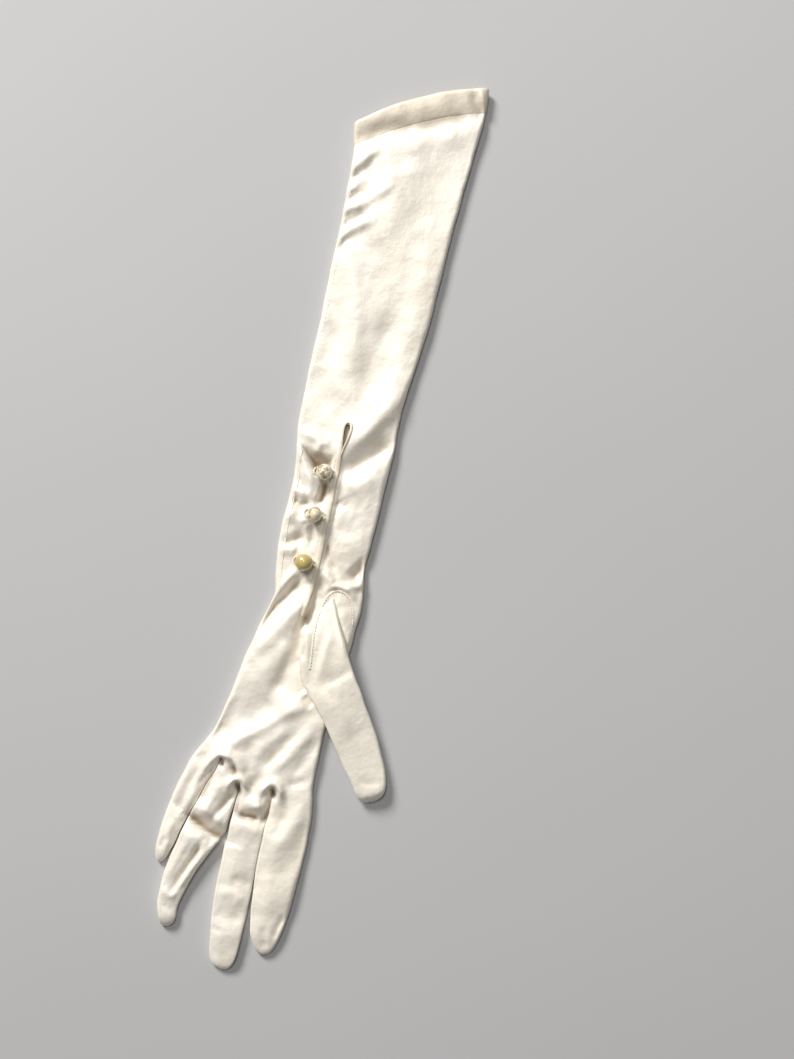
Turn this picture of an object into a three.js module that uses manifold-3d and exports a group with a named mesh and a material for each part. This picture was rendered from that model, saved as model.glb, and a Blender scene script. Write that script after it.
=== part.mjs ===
// A long satin dress glove for the left hand, lying palm up as it is put away:
// an empty sleeve and hand of thin cloth, a set-in thumb folded down over the palm,
// side strips between the fingers, a turned hem, and a buttoned slit at the wrist.
// Millimetres, +Z up, fingertips towards -Y, thumb towards +X.
// The tables are laid out from the slit line (x = 0) at mid wrist (y = 0), and the
// finished group is moved so that its origin is the middle of the face it lies on.
import * as THREE from 'three';
import { mergeVertices } from 'three/addons/utils/BufferGeometryUtils.js';
import Module from 'manifold-3d';

const wasm = await Module();
wasm.setup();

// Driving sizes
const CLOTH = 1.0; // satin with its seam allowance
const HEM_CLOTH = 1.6; // the hem is turned in, so it is two layers thick
const HEM_STEPS = 3;
const LOFT = 8.0; // how high the empty glove stands off the table
const GAP = 0.3; // clearance between two pieces
const SECTION_STEP = 15; // longest distance between two sections of the sleeve
const PEARL_RADIUS = 5.5;
const PEARL_SIDES = 14;
const PEARL_RINGS = 7;
const SHANK_RADIUS = 1.4;
const SHANK_HEIGHT = 0.9;
const THREAD_RADIUS = 0.6;
const BINDING_WIDTH = 3.0;
const BINDING_NARROW = 1.8;
const BINDING_THICKNESS = 1.0;
const BINDING_STEPS = 36;
const STRIP_LOW = 1.6; // the side strips fill the finger walls between these heights
const STRIP_HIGH = 6.2;
const STRIP_DEPTH = 2.6; // how far they reach round the finger
const STRIP_PROUD = 0.42; // the cut takes in the whole side wall
const STRIP_FROM_WEB = 6;
const STRIP_FROM_TIP = 12;
const WEB_UP = 2;
const WEB_DOWN = 16;
const OVERRUN = 4; // how far a cutting shape runs past what it cuts

// The sleeve and hand from the mouth to the knuckles. Each row is a section:
// its left and right end points in plan, its height, and how far its middle bows up the arm.
const MOUTH = { leftX: -38, leftY: 254, rightX: 40, rightY: 294, loft: 9.5, bow: 5 };
const HEM_LINE = { leftX: -35, leftY: 239, rightX: 41.5, rightY: 277.5, loft: 8.8, bow: 4 };
const ARM = [
  HEM_LINE,
  { leftX: -33.8, leftY: 228, rightX: 40.5, rightY: 256, loft: 8.2, bow: 2 },
  { leftX: -33, leftY: 212, rightX: 39, rightY: 228, loft: 8, bow: 1 },
  { leftX: -32, leftY: 190, rightX: 37.6, rightY: 196, loft: 8, bow: 0 },
  { leftX: -32, leftY: 165, rightX: 37, rightY: 165, loft: 8, bow: 0 },
  { leftX: -31, leftY: 135, rightX: 36.3, rightY: 135, loft: 8, bow: 0 },
  { leftX: -31, leftY: 105, rightX: 33.5, rightY: 105, loft: 8, bow: 0 },
  { leftX: -30.5, leftY: 82, rightX: 32, rightY: 82, loft: 8, bow: 0 },
  { leftX: -29.5, leftY: 60, rightX: 33, rightY: 60, loft: 8, bow: 0 },
  { leftX: -27.2, leftY: 46, rightX: 33, rightY: 46, loft: 8, bow: 0 },
  { leftX: -25.2, leftY: 32, rightX: 32.7, rightY: 32, loft: 8, bow: 0 },
  { leftX: -25, leftY: 18, rightX: 32.6, rightY: 18, loft: 8, bow: 0 },
  { leftX: -25.5, leftY: 0, rightX: 32.2, rightY: 0, loft: 8, bow: 0 },
  { leftX: -24.8, leftY: -17, rightX: 31.6, rightY: -17, loft: 8, bow: 0 },
  { leftX: -22.5, leftY: -32, rightX: 34, rightY: -32, loft: 8, bow: 0 },
  { leftX: -20.5, leftY: -45, rightX: 35, rightY: -45, loft: 8, bow: 0 },
  { leftX: -23.5, leftY: -60, rightX: 34.5, rightY: -60, loft: 8, bow: 0 },
  { leftX: -28, leftY: -80, rightX: 33.5, rightY: -80, loft: 8, bow: 0 },
  { leftX: -31.5, leftY: -100, rightX: 31.5, rightY: -100, loft: 8, bow: 0 },
  { leftX: -34.5, leftY: -120, rightX: 30, rightY: -120, loft: 8, bow: 0 },
  { leftX: -38.5, leftY: -138, rightX: 30, rightY: -140, loft: 8, bow: -2 },
  { leftX: -44, leftY: -148, rightX: 31, rightY: -161, loft: 8, bow: -7 },
];

// The fingers. Each row is a level cut: its place along the glove, its two sides and its height.
const LITTLE = [
  { y: -141, left: -37, right: -27.2, loft: 7.4 },
  { y: -150, left: -44.8, right: -29.5, loft: 7.4 },
  { y: -160, left: -49.2, right: -32, loft: 7.4 },
  { y: -170, left: -51.7, right: -35.4, loft: 7.4 },
  { y: -180, left: -54, right: -38.3, loft: 7.4 },
  { y: -190, left: -55.7, right: -41.2, loft: 7.4 },
  { y: -200, left: -57, right: -43.8, loft: 7.2 },
  { y: -210, left: -57.6, right: -46, loft: 7 },
  { y: -218, left: -57.6, right: -48, loft: 6.6 },
  { y: -223.5, left: -56.4, right: -49.6, loft: 5.4 },
  { y: -226, left: -55, right: -51.6, loft: 3.4 },
];
const RING = [
  { y: -146, left: -27.5, right: -15.6, loft: 7.6 },
  { y: -155, left: -29.2, right: -14.8, loft: 7.6 },
  { y: -162, left: -31.2, right: -14.7, loft: 7.6 },
  { y: -170, left: -34.5, right: -14.8, loft: 7.6 },
  { y: -180, left: -37.5, right: -15.3, loft: 7.6 },
  { y: -188, left: -40, right: -16, loft: 7.6 },
  { y: -195, left: -41.2, right: -16.6, loft: 6.6 },
  { y: -201, left: -43.2, right: -18, loft: 8.2 },
  { y: -210, left: -45, right: -23, loft: 7.8 },
  { y: -220, left: -47, right: -27, loft: 7.6 },
  { y: -230, left: -48.2, right: -30.2, loft: 7.6 },
  { y: -240, left: -49, right: -33.3, loft: 7.4 },
  { y: -250, left: -48.5, right: -35.3, loft: 7.2 },
  { y: -258, left: -46.3, right: -35.3, loft: 6.8 },
  { y: -262.5, left: -44.4, right: -36.6, loft: 5.4 },
  { y: -265, left: -42, right: -38.6, loft: 3.4 },
];
const MIDDLE = [
  { y: -150, left: -13.9, right: 5, loft: 7.6 },
  { y: -160, left: -13.8, right: 5.6, loft: 7.6 },
  { y: -170, left: -14, right: 6, loft: 7.6 },
  { y: -180, left: -14.3, right: 6.3, loft: 8 },
  { y: -188, left: -14.5, right: 6.2, loft: 6.8 },
  { y: -195, left: -14.8, right: 6, loft: 8 },
  { y: -215, left: -15.1, right: 6.2, loft: 7.8 },
  { y: -230, left: -15, right: 7.5, loft: 7.6 },
  { y: -245, left: -14, right: 8, loft: 7.6 },
  { y: -260, left: -12, right: 7.8, loft: 7.4 },
  { y: -270, left: -10.6, right: 7.6, loft: 7 },
  { y: -277, left: -8.8, right: 6.8, loft: 6.4 },
  { y: -281, left: -6, right: 5, loft: 5 },
  { y: -283, left: -2, right: 3.4, loft: 3.2 },
];
const INDEX = [
  { y: -150, left: 6.2, right: 28.6, loft: 7.6 },
  { y: -160, left: 6.6, right: 31, loft: 7.6 },
  { y: -170, left: 6.9, right: 33, loft: 7.6 },
  { y: -180, left: 7.2, right: 34.2, loft: 7.6 },
  { y: -192, left: 7.2, right: 35, loft: 7.8 },
  { y: -206, left: 6.9, right: 35, loft: 7.8 },
  { y: -218, left: 7.2, right: 34.8, loft: 7.8 },
  { y: -230, left: 8.4, right: 34.5, loft: 7.8 },
  { y: -240, left: 9.6, right: 34, loft: 7.6 },
  { y: -250, left: 11.2, right: 32.6, loft: 7.4 },
  { y: -258, left: 13.4, right: 31, loft: 7 },
  { y: -265, left: 17.4, right: 29, loft: 5.6 },
  { y: -268.5, left: 20.6, right: 26, loft: 3.4 },
];

// The thumb from its seam to its tip: end points in plan, the heights that its two sides
// lie at, and its own height. It lies on the palm and then comes down to the table.
const THUMB = [
  { leftX: 14.5, leftY: -38, rightX: 17.5, rightY: -37.5, underLeft: 8.4, underRight: 8.4, loft: 3 },
  { leftX: 10.5, leftY: -47, rightX: 20.5, rightY: -47, underLeft: 8.4, underRight: 8.4, loft: 5.6 },
  { leftX: 6, leftY: -57, rightX: 26, rightY: -57, underLeft: 8.4, underRight: 8.4, loft: 6.8 },
  { leftX: 3.5, leftY: -67, rightX: 30.5, rightY: -65, underLeft: 8.4, underRight: 8.4, loft: 7 },
  { leftX: 4.5, leftY: -79, rightX: 35, rightY: -74, underLeft: 8.4, underRight: 8.4, loft: 7 },
  { leftX: 8, leftY: -92, rightX: 41, rightY: -84, underLeft: 8.4, underRight: 8.4, loft: 7 },
  { leftX: 15, leftY: -101, rightX: 46.5, rightY: -92, underLeft: 8.4, underRight: 8.2, loft: 7 },
  { leftX: 23, leftY: -109.5, rightX: 51, rightY: -99.5, underLeft: 8.5, underRight: 6.6, loft: 7 },
  { leftX: 31, leftY: -119, rightX: 56.5, rightY: -108, underLeft: 6.4, underRight: 3.6, loft: 7 },
  { leftX: 39, leftY: -131, rightX: 62.5, rightY: -117.5, underLeft: 2.6, underRight: 1, loft: 7 },
  { leftX: 46, leftY: -140.5, rightX: 68, rightY: -128, underLeft: 0.6, underRight: 0, loft: 7 },
  { leftX: 52.5, leftY: -148.5, rightX: 72.5, rightY: -137.5, underLeft: 0, underRight: 0, loft: 7 },
  { leftX: 56.5, leftY: -155, rightX: 75, rightY: -146.5, underLeft: 0, underRight: 0, loft: 6.6 },
  { leftX: 60.5, leftY: -159.3, rightX: 74.3, rightY: -153.6, underLeft: 0, underRight: 0, loft: 5.6 },
  { leftX: 64.5, leftY: -161, rightX: 71, rightY: -158.6, underLeft: 0, underRight: 0, loft: 3.4 },
];
const THUMB_HOLE = { x: 16, y: -62, radiusX: 6, radiusY: 14, sides: 16 };

// Folds and dents in the upper layer: each runs along a line, and rises or sinks beside it.
const FOLDS = [
  { fromX: -34, fromY: 189, toX: -20, toY: 199, rise: 1.8, spread: 5 }, // puckers on the outer seam
  { fromX: -34, fromY: 205, toX: -20, toY: 214, rise: 1.8, spread: 5 },
  { fromX: -34, fromY: 222, toX: -18, toY: 232, rise: 1.6, spread: 5 },
  { fromX: 4, fromY: 226, toX: -14, toY: 208, rise: -1.0, spread: 8 },
  { fromX: -22, fromY: 170, toX: -6, toY: 112, rise: 1.4, spread: 7 }, // shallow V above the slit
  { fromX: 8, fromY: 116, toX: 6, toY: 82, rise: -1.0, spread: 10 },
  { fromX: 5, fromY: 48, toX: 31, toY: 84, rise: 2.4, spread: 7 }, // ridge right of the slit's head
  { fromX: 9, fromY: 40, toX: 30, toY: 62, rise: -0.9, spread: 6 },
  { fromX: -27, fromY: 46, toX: -13, toY: 31, rise: 2.2, spread: 6 }, // ridges left of the buttons
  { fromX: -20, fromY: 52, toX: -9, toY: 49, rise: -1.0, spread: 6 },
  { fromX: -20, fromY: 2, toX: -14, toY: -2, rise: 1.6, spread: 6 },
  { fromX: -22, fromY: -18, toX: -16, toY: -24, rise: 1.4, spread: 6 },
  { fromX: -8, fromY: -48, toX: -25, toY: -82, rise: 2.6, spread: 7 }, // ridge from the slit's foot
  { fromX: -12, fromY: -40, toX: -21, toY: -66, rise: -0.9, spread: 5 },
  { fromX: -4, fromY: -72, toX: -9, toY: -112, rise: -1.0, spread: 7 },
  { fromX: 4, fromY: -119, toX: -34, toY: -148, rise: 2.4, spread: 7 }, // ridge across the palm
  { fromX: -14, fromY: -122, toX: -36, toY: -138, rise: -0.9, spread: 6 },
  { fromX: 21, fromY: -132, toX: 8, toY: -148, rise: 1.0, spread: 6 },
];

// The wrist slit, and the bound edge that runs up one side of it and round its head.
const SLIT = [
  { y: -52, left: -0.5, right: 0.7 },
  { y: 44, left: -0.6, right: 0.6 },
  { y: 58, left: -1.1, right: 0.9 },
  { y: 67, left: -1.4, right: 0.8 },
];
const BINDING = [
  { x: 0.9, y: -55, width: BINDING_NARROW },
  { x: 0.6, y: -46, width: BINDING_WIDTH },
  { x: 0.8, y: -30, width: BINDING_WIDTH },
  { x: 0.6, y: -12, width: BINDING_WIDTH },
  { x: 0.4, y: 8, width: BINDING_WIDTH },
  { x: 0.2, y: 28, width: BINDING_WIDTH },
  { x: 0.4, y: 44, width: BINDING_WIDTH },
  { x: 1.3, y: 54, width: BINDING_NARROW },
  { x: 1.8, y: 63, width: BINDING_NARROW },
  { x: 1.2, y: 68, width: BINDING_NARROW },
  { x: -0.4, y: 69.6, width: BINDING_NARROW },
  { x: -2.2, y: 68, width: BINDING_NARROW },
  { x: -2.8, y: 62, width: BINDING_NARROW },
  { x: -2.6, y: 53, width: BINDING_NARROW },
  { x: -2.7, y: 46, width: BINDING_NARROW },
];
const BUTTONS = [
  { x: -6.6, y: 36 },
  { x: -6.4, y: 9 },
  { x: -6.2, y: -21.5 },
];
const LOOP_REACH = 6.8; // how far each thread loop runs past its button's shank
const LOOP_HALF_WIDTH = 2.7;
const LOOP_STEPS = 13;

const lerp = THREE.MathUtils.lerp;
const clamp = THREE.MathUtils.clamp;

// How far the folds raise the upper layer at a place in plan.
function foldRise(x, y) {
  let rise = 0;
  for (const fold of FOLDS) {
    const runX = fold.toX - fold.fromX;
    const runY = fold.toY - fold.fromY;
    const along = ((x - fold.fromX) * runX + (y - fold.fromY) * runY) / (runX * runX + runY * runY);
    const t = clamp(along, 0, 1);
    const away = Math.hypot(x - fold.fromX - t * runX, y - fold.fromY - t * runY);
    rise += fold.rise * Math.exp(-((away / fold.spread) ** 2));
  }
  return rise;
}

// One flattened cross-section as a ring of points, from its left side over the top and back below.
// inset draws it in by a wall's thickness; columns are how many strips its top and bottom have.
function ring(section, inset, columns, folded) {
  const left = new THREE.Vector2(section.leftX, section.leftY);
  const right = new THREE.Vector2(section.rightX, section.rightY);
  const across = right.clone().sub(left);
  const width = across.length();
  across.normalize();
  const up = new THREE.Vector2(-across.y, across.x);
  const turn = Math.min(section.loft / 2, width * 0.45);
  const points = [];
  const add = (distance, high) => {
    const t = clamp((distance - turn) / (width - 2 * turn), 0, 1);
    const middle = lerp(section.underLeft ?? 0, section.underRight ?? 0, distance / width) + section.loft / 2;
    const bow = (section.bow ?? 0) * 4 * t * (1 - t);
    const x = left.x + across.x * distance + up.x * bow;
    const y = left.y + across.y * distance + up.y * bow;
    const fade = Math.min(1, Math.min(t, 1 - t) * columns.top / 1.5);
    const rise = folded && high > 0 ? foldRise(x, y) * fade : 0;
    points.push(new THREE.Vector3(x, y, middle + high + rise));
  };
  const side = (centre, direction, start) => {
    for (const step of [1, 2, 3]) {
      const angle = start + (direction * step * Math.PI) / 4;
      add(centre + Math.cos(angle) * (turn - inset), Math.sin(angle) * (section.loft / 2 - inset));
    }
  };
  const half = section.loft / 2 - inset;
  for (let i = 0; i <= columns.top; i++) add(lerp(turn, width - turn, i / columns.top), half);
  side(width - turn, -1, Math.PI / 2);
  for (let i = columns.bottom; i >= 0; i--) add(lerp(turn, width - turn, i / columns.bottom), -half);
  side(turn, -1, -Math.PI / 2);
  return points;
}

// A closed skin over rings of equal length, with a fan over each end.
function skin(rings) {
  const count = rings[0].length;
  const corners = [];
  const middle = (points) =>
    points.reduce((sum, p) => sum.add(p), new THREE.Vector3()).divideScalar(points.length);
  for (let i = 0; i + 1 < rings.length; i++) {
    for (let k = 0; k < count; k++) {
      const next = (k + 1) % count;
      corners.push(rings[i][k], rings[i + 1][k], rings[i][next]);
      corners.push(rings[i][next], rings[i + 1][k], rings[i + 1][next]);
    }
  }
  const first = rings[0];
  const last = rings[rings.length - 1];
  const firstMiddle = middle(first);
  const lastMiddle = middle(last);
  for (let k = 0; k < count; k++) {
    const next = (k + 1) % count;
    corners.push(first[k], first[next], firstMiddle);
    corners.push(last[next], last[k], lastMiddle);
  }
  return new THREE.BufferGeometry().setFromPoints(corners);
}

// Between a three.js geometry and a solid that can be joined and cut.
function solidOf(geometry) {
  const bare = geometry.index ? geometry.toNonIndexed() : geometry.clone();
  bare.deleteAttribute('normal');
  bare.deleteAttribute('uv');
  const merged = mergeVertices(bare, 1e-4);
  return new wasm.Manifold(new wasm.Mesh({
    numProp: 3,
    vertProperties: new Float32Array(merged.attributes.position.array),
    triVerts: new Uint32Array(merged.index.array),
  }));
}
function geometryOf(solid) {
  const mesh = solid.getMesh();
  const geometry = new THREE.BufferGeometry();
  geometry.setAttribute('position', new THREE.BufferAttribute(mesh.vertProperties, 3));
  geometry.setIndex(new THREE.BufferAttribute(mesh.triVerts, 1));
  const flat = geometry.toNonIndexed();
  flat.computeVertexNormals();
  return flat;
}

// A plan outline as an upright block from one height to another.
function block(outline, low, high) {
  const shape = new THREE.Shape(outline.map(([x, y]) => new THREE.Vector2(x, y)));
  const geometry = new THREE.ExtrudeGeometry(shape, { depth: high - low, bevelEnabled: false });
  return solidOf(geometry.translate(0, 0, low));
}

// Sections between a table's rows, on smooth curves through the rows' end points.
function smoothSections(rows) {
  const lefts = new THREE.CatmullRomCurve3(rows.map((r) => new THREE.Vector3(r.leftX, r.leftY, r.loft)));
  const rights = new THREE.CatmullRomCurve3(rows.map((r) => new THREE.Vector3(r.rightX, r.rightY, r.bow)));
  const sections = [];
  for (let i = 0; i + 1 < rows.length; i++) {
    const steps = Math.ceil((rows[i].rightY - rows[i + 1].rightY) / SECTION_STEP);
    for (let s = 0; s < steps; s++) {
      const at = (i + s / steps) / (rows.length - 1);
      const left = lefts.getPoint(at);
      const right = rights.getPoint(at);
      const ends = { leftX: left.x, leftY: left.y, rightX: right.x, rightY: right.y };
      sections.push({ ...ends, loft: left.z, bow: right.z });
    }
  }
  sections.push(rows[rows.length - 1]);
  return sections;
}
const moved = (section, up) => ({ ...section, leftY: section.leftY + up, rightY: section.rightY + up });

const ARM_COLUMNS = { top: 11, bottom: 3 };
const FINGER_COLUMNS = { top: 4, bottom: 2 };
const levelSections = (rows) =>
  rows.map((r) => ({ leftX: r.left, leftY: r.y, rightX: r.right, rightY: r.y, loft: r.loft }));

function armSolid(inset) {
  const sections = smoothSections(ARM);
  if (inset > 0) {
    sections.unshift(moved(sections[0], OVERRUN));
    sections.push(moved(sections.pop(), inset));
  }
  return solidOf(skin(sections.map((s) => ring(s, inset, ARM_COLUMNS, true))));
}
function fingerSolid(rows, inset) {
  const sections = levelSections(inset > 0 ? rows.slice(0, -1) : rows);
  return solidOf(skin(sections.map((s) => ring(s, inset, FINGER_COLUMNS, false))));
}
const FINGERS = [LITTLE, RING, MIDDLE, INDEX];
const PAIRS = [
  { name: 'fourchette_little_ring', left: LITTLE, right: RING, webLeft: -30.4, webRight: -28.8, webY: -151.5 },
  { name: 'fourchette_ring_middle', left: RING, right: MIDDLE, webLeft: -14.8, webRight: -13.8, webY: -155 },
  { name: 'fourchette_middle_index', left: MIDDLE, right: INDEX, webLeft: 5.5, webRight: 6.5, webY: -158 },
];

function handSolid(inset) {
  return FINGERS.reduce((hand, rows) => hand.add(fingerSolid(rows, inset)), armSolid(inset));
}

// The strip that joins two fingers' facing walls, from its web down both sides.
// extra widens it all round, to clear the cloth it is cut from.
function stripRegion(pair, extra) {
  const low = STRIP_LOW - extra;
  const high = STRIP_HIGH + extra;
  const band = (rows, edge, outward) => {
    const tip = rows[rows.length - 1].y;
    const kept = rows.filter((r) => r.y < pair.webY - STRIP_FROM_WEB && r.y > tip + STRIP_FROM_TIP);
    const levels = [...kept.slice(0, -1), { ...kept[kept.length - 1], y: kept[kept.length - 1].y - extra }];
    const outer = levels.map((r) => [r[edge] + outward * (STRIP_PROUD + extra), r.y]);
    const inner = levels.map((r) => [r[edge] - outward * (STRIP_DEPTH + extra), r.y]);
    return block([...outer, ...inner.reverse()], low, high);
  };
  const left = pair.webLeft - STRIP_DEPTH - extra;
  const right = pair.webRight + STRIP_DEPTH + extra;
  const top = pair.webY + WEB_UP + extra;
  const bottom = pair.webY - WEB_DOWN;
  const bridge = block([[left, bottom], [right, bottom], [right, top], [left, top]], low, high);
  return band(pair.left, 'right', 1).add(band(pair.right, 'left', -1)).add(bridge);
}

function thumbHole(low, high) {
  const outline = [];
  for (let i = 0; i < THUMB_HOLE.sides; i++) {
    const angle = (i / THUMB_HOLE.sides) * 2 * Math.PI;
    outline.push([
      THUMB_HOLE.x + Math.cos(angle) * THUMB_HOLE.radiusX,
      THUMB_HOLE.y + Math.sin(angle) * THUMB_HOLE.radiusY,
    ]);
  }
  return block(outline, low, high);
}

function slitCut() {
  const outline = [...SLIT.map((r) => [r.right, r.y]), ...SLIT.map((r) => [r.left, r.y]).reverse()];
  return block(outline, LOFT / 2, LOFT * 2);
}

function thumbSolid() {
  const outer = solidOf(skin(THUMB.map((s) => ring(s, 0, FINGER_COLUMNS, false))));
  const inner = solidOf(skin(THUMB.slice(1, -1).map((s) => ring(s, CLOTH, FINGER_COLUMNS, false))));
  return outer.subtract(inner).subtract(thumbHole(LOFT - CLOTH, LOFT + OVERRUN));
}

function hemSolid() {
  const rows = [];
  const clear = GAP / (MOUTH.leftY - HEM_LINE.leftY);
  for (let i = 0; i <= HEM_STEPS; i++) {
    const t = lerp(0, 1 - clear, i / HEM_STEPS);
    rows.push(Object.fromEntries(Object.keys(MOUTH).map((key) => [key, lerp(MOUTH[key], HEM_LINE[key], t)])));
  }
  const outer = skin(rows.map((s) => ring(s, 0, ARM_COLUMNS, true)));
  const inside = [moved(rows[0], OVERRUN), ...rows, moved(rows[HEM_STEPS], -OVERRUN)];
  const inner = skin(inside.map((s) => ring(s, HEM_CLOTH, ARM_COLUMNS, true)));
  return solidOf(outer).subtract(solidOf(inner));
}

// The height of the upper layer, as built, round a place in plan.
const caster = new THREE.Raycaster();
function clothTop(x, y, reach) {
  let top = 0;
  for (const [dx, dy] of [[0, 0], [reach, 0], [-reach, 0], [0, reach], [0, -reach]]) {
    caster.set(new THREE.Vector3(x + dx, y + dy, LOFT * 3), new THREE.Vector3(0, 0, -1));
    const hit = caster.intersectObject(shellMesh)[0];
    top = Math.max(top, hit ? hit.point.z : 0);
  }
  return top;
}

// The bound edge as a flat ribbon that follows the cloth under it.
function bindingGeometry() {
  const path = new THREE.CatmullRomCurve3(BINDING.map((b) => new THREE.Vector3(b.x, b.y, b.width)));
  const rings = path.getPoints(BINDING_STEPS).map((here, i) => {
    const along = path.getTangent(i / BINDING_STEPS);
    const acrossX = -along.y / Math.hypot(along.x, along.y);
    const acrossY = along.x / Math.hypot(along.x, along.y);
    const corner = (side, height) => {
      const x = here.x + acrossX * side * here.z / 2;
      const y = here.y + acrossY * side * here.z / 2;
      return new THREE.Vector3(x, y, clothTop(x, y, BINDING_WIDTH) + GAP + height);
    };
    return [corner(1, 0), corner(1, BINDING_THICKNESS), corner(-1, BINDING_THICKNESS), corner(-1, 0)];
  });
  return skin(rings.reverse());
}

// A pearl with the neck that it is sewn on by, standing at its place on the cloth.
function buttonGeometry(place) {
  const profile = [new THREE.Vector2(0, 0), new THREE.Vector2(SHANK_RADIUS, 0)];
  const start = Math.asin(SHANK_RADIUS / PEARL_RADIUS);
  for (let i = 0; i <= PEARL_RINGS; i++) {
    const angle = lerp(start, Math.PI, i / PEARL_RINGS);
    profile.push(new THREE.Vector2(
      i === PEARL_RINGS ? 0 : Math.sin(angle) * PEARL_RADIUS,
      SHANK_HEIGHT + PEARL_RADIUS - Math.cos(angle) * PEARL_RADIUS,
    ));
  }
  const geometry = new THREE.LatheGeometry(profile, PEARL_SIDES).rotateX(Math.PI / 2);
  return geometry.translate(place.x, place.y, clothTop(place.x, place.y, SHANK_RADIUS) + GAP);
}

// A thread loop from the bound edge, round the button's neck.
function loopGeometry(place) {
  const start = -1.2 - GAP - place.x;
  const plan = [
    [start, LOOP_HALF_WIDTH * 0.8],
    [0, LOOP_HALF_WIDTH],
    [-LOOP_REACH * 0.7, LOOP_HALF_WIDTH],
    [-LOOP_REACH, 0],
    [-LOOP_REACH * 0.7, -LOOP_HALF_WIDTH],
    [0, -LOOP_HALF_WIDTH],
    [start, -LOOP_HALF_WIDTH * 0.8],
  ];
  const points = plan.map(([dx, dy]) => {
    const x = place.x + dx;
    const y = place.y + dy;
    return new THREE.Vector3(x, y, clothTop(x, y, THREAD_RADIUS * 2) + GAP + THREAD_RADIUS);
  });
  const section = new THREE.Shape();
  section.absarc(0, 0, THREAD_RADIUS, 0, Math.PI * 2);
  const path = new THREE.CatmullRomCurve3(points);
  return new THREE.ExtrudeGeometry(section, {
    steps: LOOP_STEPS,
    curveSegments: 3,
    bevelEnabled: false,
    extrudePath: path,
  });
}

const satin = new THREE.MeshStandardMaterial({ color: 0xede4d2, roughness: 0.45, metalness: 0 });
const satinEdge = new THREE.MeshStandardMaterial({ color: 0xe6dac4, roughness: 0.5, metalness: 0 });
const pearl = new THREE.MeshStandardMaterial({ color: 0xe9dcb6, roughness: 0.2, metalness: 0 });
const thread = new THREE.MeshStandardMaterial({ color: 0xf2ecdc, roughness: 0.6, metalness: 0 });

const glove = new THREE.Group();
function addPiece(name, geometry, material) {
  const mesh = new THREE.Mesh(geometry, material);
  mesh.name = name;
  glove.add(mesh);
  return mesh;
}

const cloth = handSolid(0)
  .subtract(handSolid(CLOTH))
  .subtract(thumbHole(LOFT / 2, LOFT + OVERRUN))
  .subtract(slitCut());
const shell = PAIRS.reduce((rest, pair) => rest.subtract(stripRegion(pair, GAP)), cloth);
const shellMesh = addPiece('satin_shell', geometryOf(shell), satin);
for (const pair of PAIRS) {
  addPiece(pair.name, geometryOf(cloth.intersect(stripRegion(pair, 0))), satin);
}
addPiece('thumb', geometryOf(thumbSolid()), satin);
addPiece('cuff_hem', geometryOf(hemSolid()), satinEdge);
addPiece('slit_binding', bindingGeometry(), satinEdge);
BUTTONS.forEach((place, i) => {
  addPiece(`pearl_button_${i + 1}`, buttonGeometry(place), pearl);
  addPiece(`button_loop_${i + 1}`, loopGeometry(place), thread);
});

const bounds = new THREE.Box3().setFromObject(glove);
const centre = bounds.getCenter(new THREE.Vector3());
glove.position.set(-centre.x, -centre.y, -bounds.min.z);

export default glove;
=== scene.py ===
"""A long ivory satin glove for the left hand, empty and lying palm up on a pale floor.

Tables are in millimetres, laid out from the wrist slit (x = 0) at mid wrist (y = 0), with the
cuff towards +y and the thumb towards +x. place() puts such a point into the frame, in metres.
"""

import math
from collections import namedtuple

import bmesh
import bpy
import numpy as np
from mathutils import Matrix, Vector, noise
from mathutils.bvhtree import BVHTree


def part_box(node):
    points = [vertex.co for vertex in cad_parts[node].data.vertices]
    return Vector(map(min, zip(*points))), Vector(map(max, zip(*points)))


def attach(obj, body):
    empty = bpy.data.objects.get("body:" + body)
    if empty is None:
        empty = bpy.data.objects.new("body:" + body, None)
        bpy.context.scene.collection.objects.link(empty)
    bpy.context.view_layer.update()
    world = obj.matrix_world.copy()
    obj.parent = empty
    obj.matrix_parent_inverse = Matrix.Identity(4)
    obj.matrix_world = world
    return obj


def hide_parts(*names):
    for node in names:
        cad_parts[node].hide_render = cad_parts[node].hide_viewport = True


MM = 0.001
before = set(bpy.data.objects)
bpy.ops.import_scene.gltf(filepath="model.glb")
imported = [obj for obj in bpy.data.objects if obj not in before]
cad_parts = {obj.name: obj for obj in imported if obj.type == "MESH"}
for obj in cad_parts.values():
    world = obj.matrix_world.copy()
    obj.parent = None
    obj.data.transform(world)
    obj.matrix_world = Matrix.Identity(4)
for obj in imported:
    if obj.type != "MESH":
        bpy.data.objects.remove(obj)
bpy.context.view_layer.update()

# The middle button stands at this place in the tables, so it gives the tables' place in the frame.
MIDDLE_BUTTON = Vector((-6.4, 9.0))
button_low, button_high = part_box("pearl_button_2")
SHIFT = Vector(((button_low + button_high).xy / 2 / MM) - MIDDLE_BUTTON)


def place(x, y, z=0.0):
    """A point of the tables as a point of the frame."""
    return Vector(((x + SHIFT.x) * MM, (y + SHIFT.y) * MM, z * MM))


# Cloth sizes
SATIN_WALL = 0.45  # satin as modelled, a little thicker than the real one
RIM = 4.2  # height of the folded edge above the floor
RIM_SHARE = 0.56  # and at most this share of the glove's thickness
EDGE_ROUND = 2.3  # how far in from the edge the upper layer curves up
INNER_ROUND = 1.3  # and how far at the seams between the fingers
ROUND_SHARE = 0.34  # and at most this share of the width
UNDER_ROUND = 4.5  # how far in from the edge the lower layer curls up
FREE_AT_EDGE = 0.2  # how free the upper layer is, at its edge, to rise into folds
FREE_REACH = 3.5  # and how far in from the edge it is wholly free
SLEEVE_CROWN = 1.8  # how much higher the middle of the sleeve lies than its sides
FINGER_CROWN = 1.2
LIP_DROP = 0.3  # how much lower the slit's right lip lies
LIP_LEVEL = 0.4  # how far apart, along the glove, a lip's point and its neighbour may lie
HEM_HIDDEN = 8.0  # where the sleeve ends inside its hem
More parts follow.
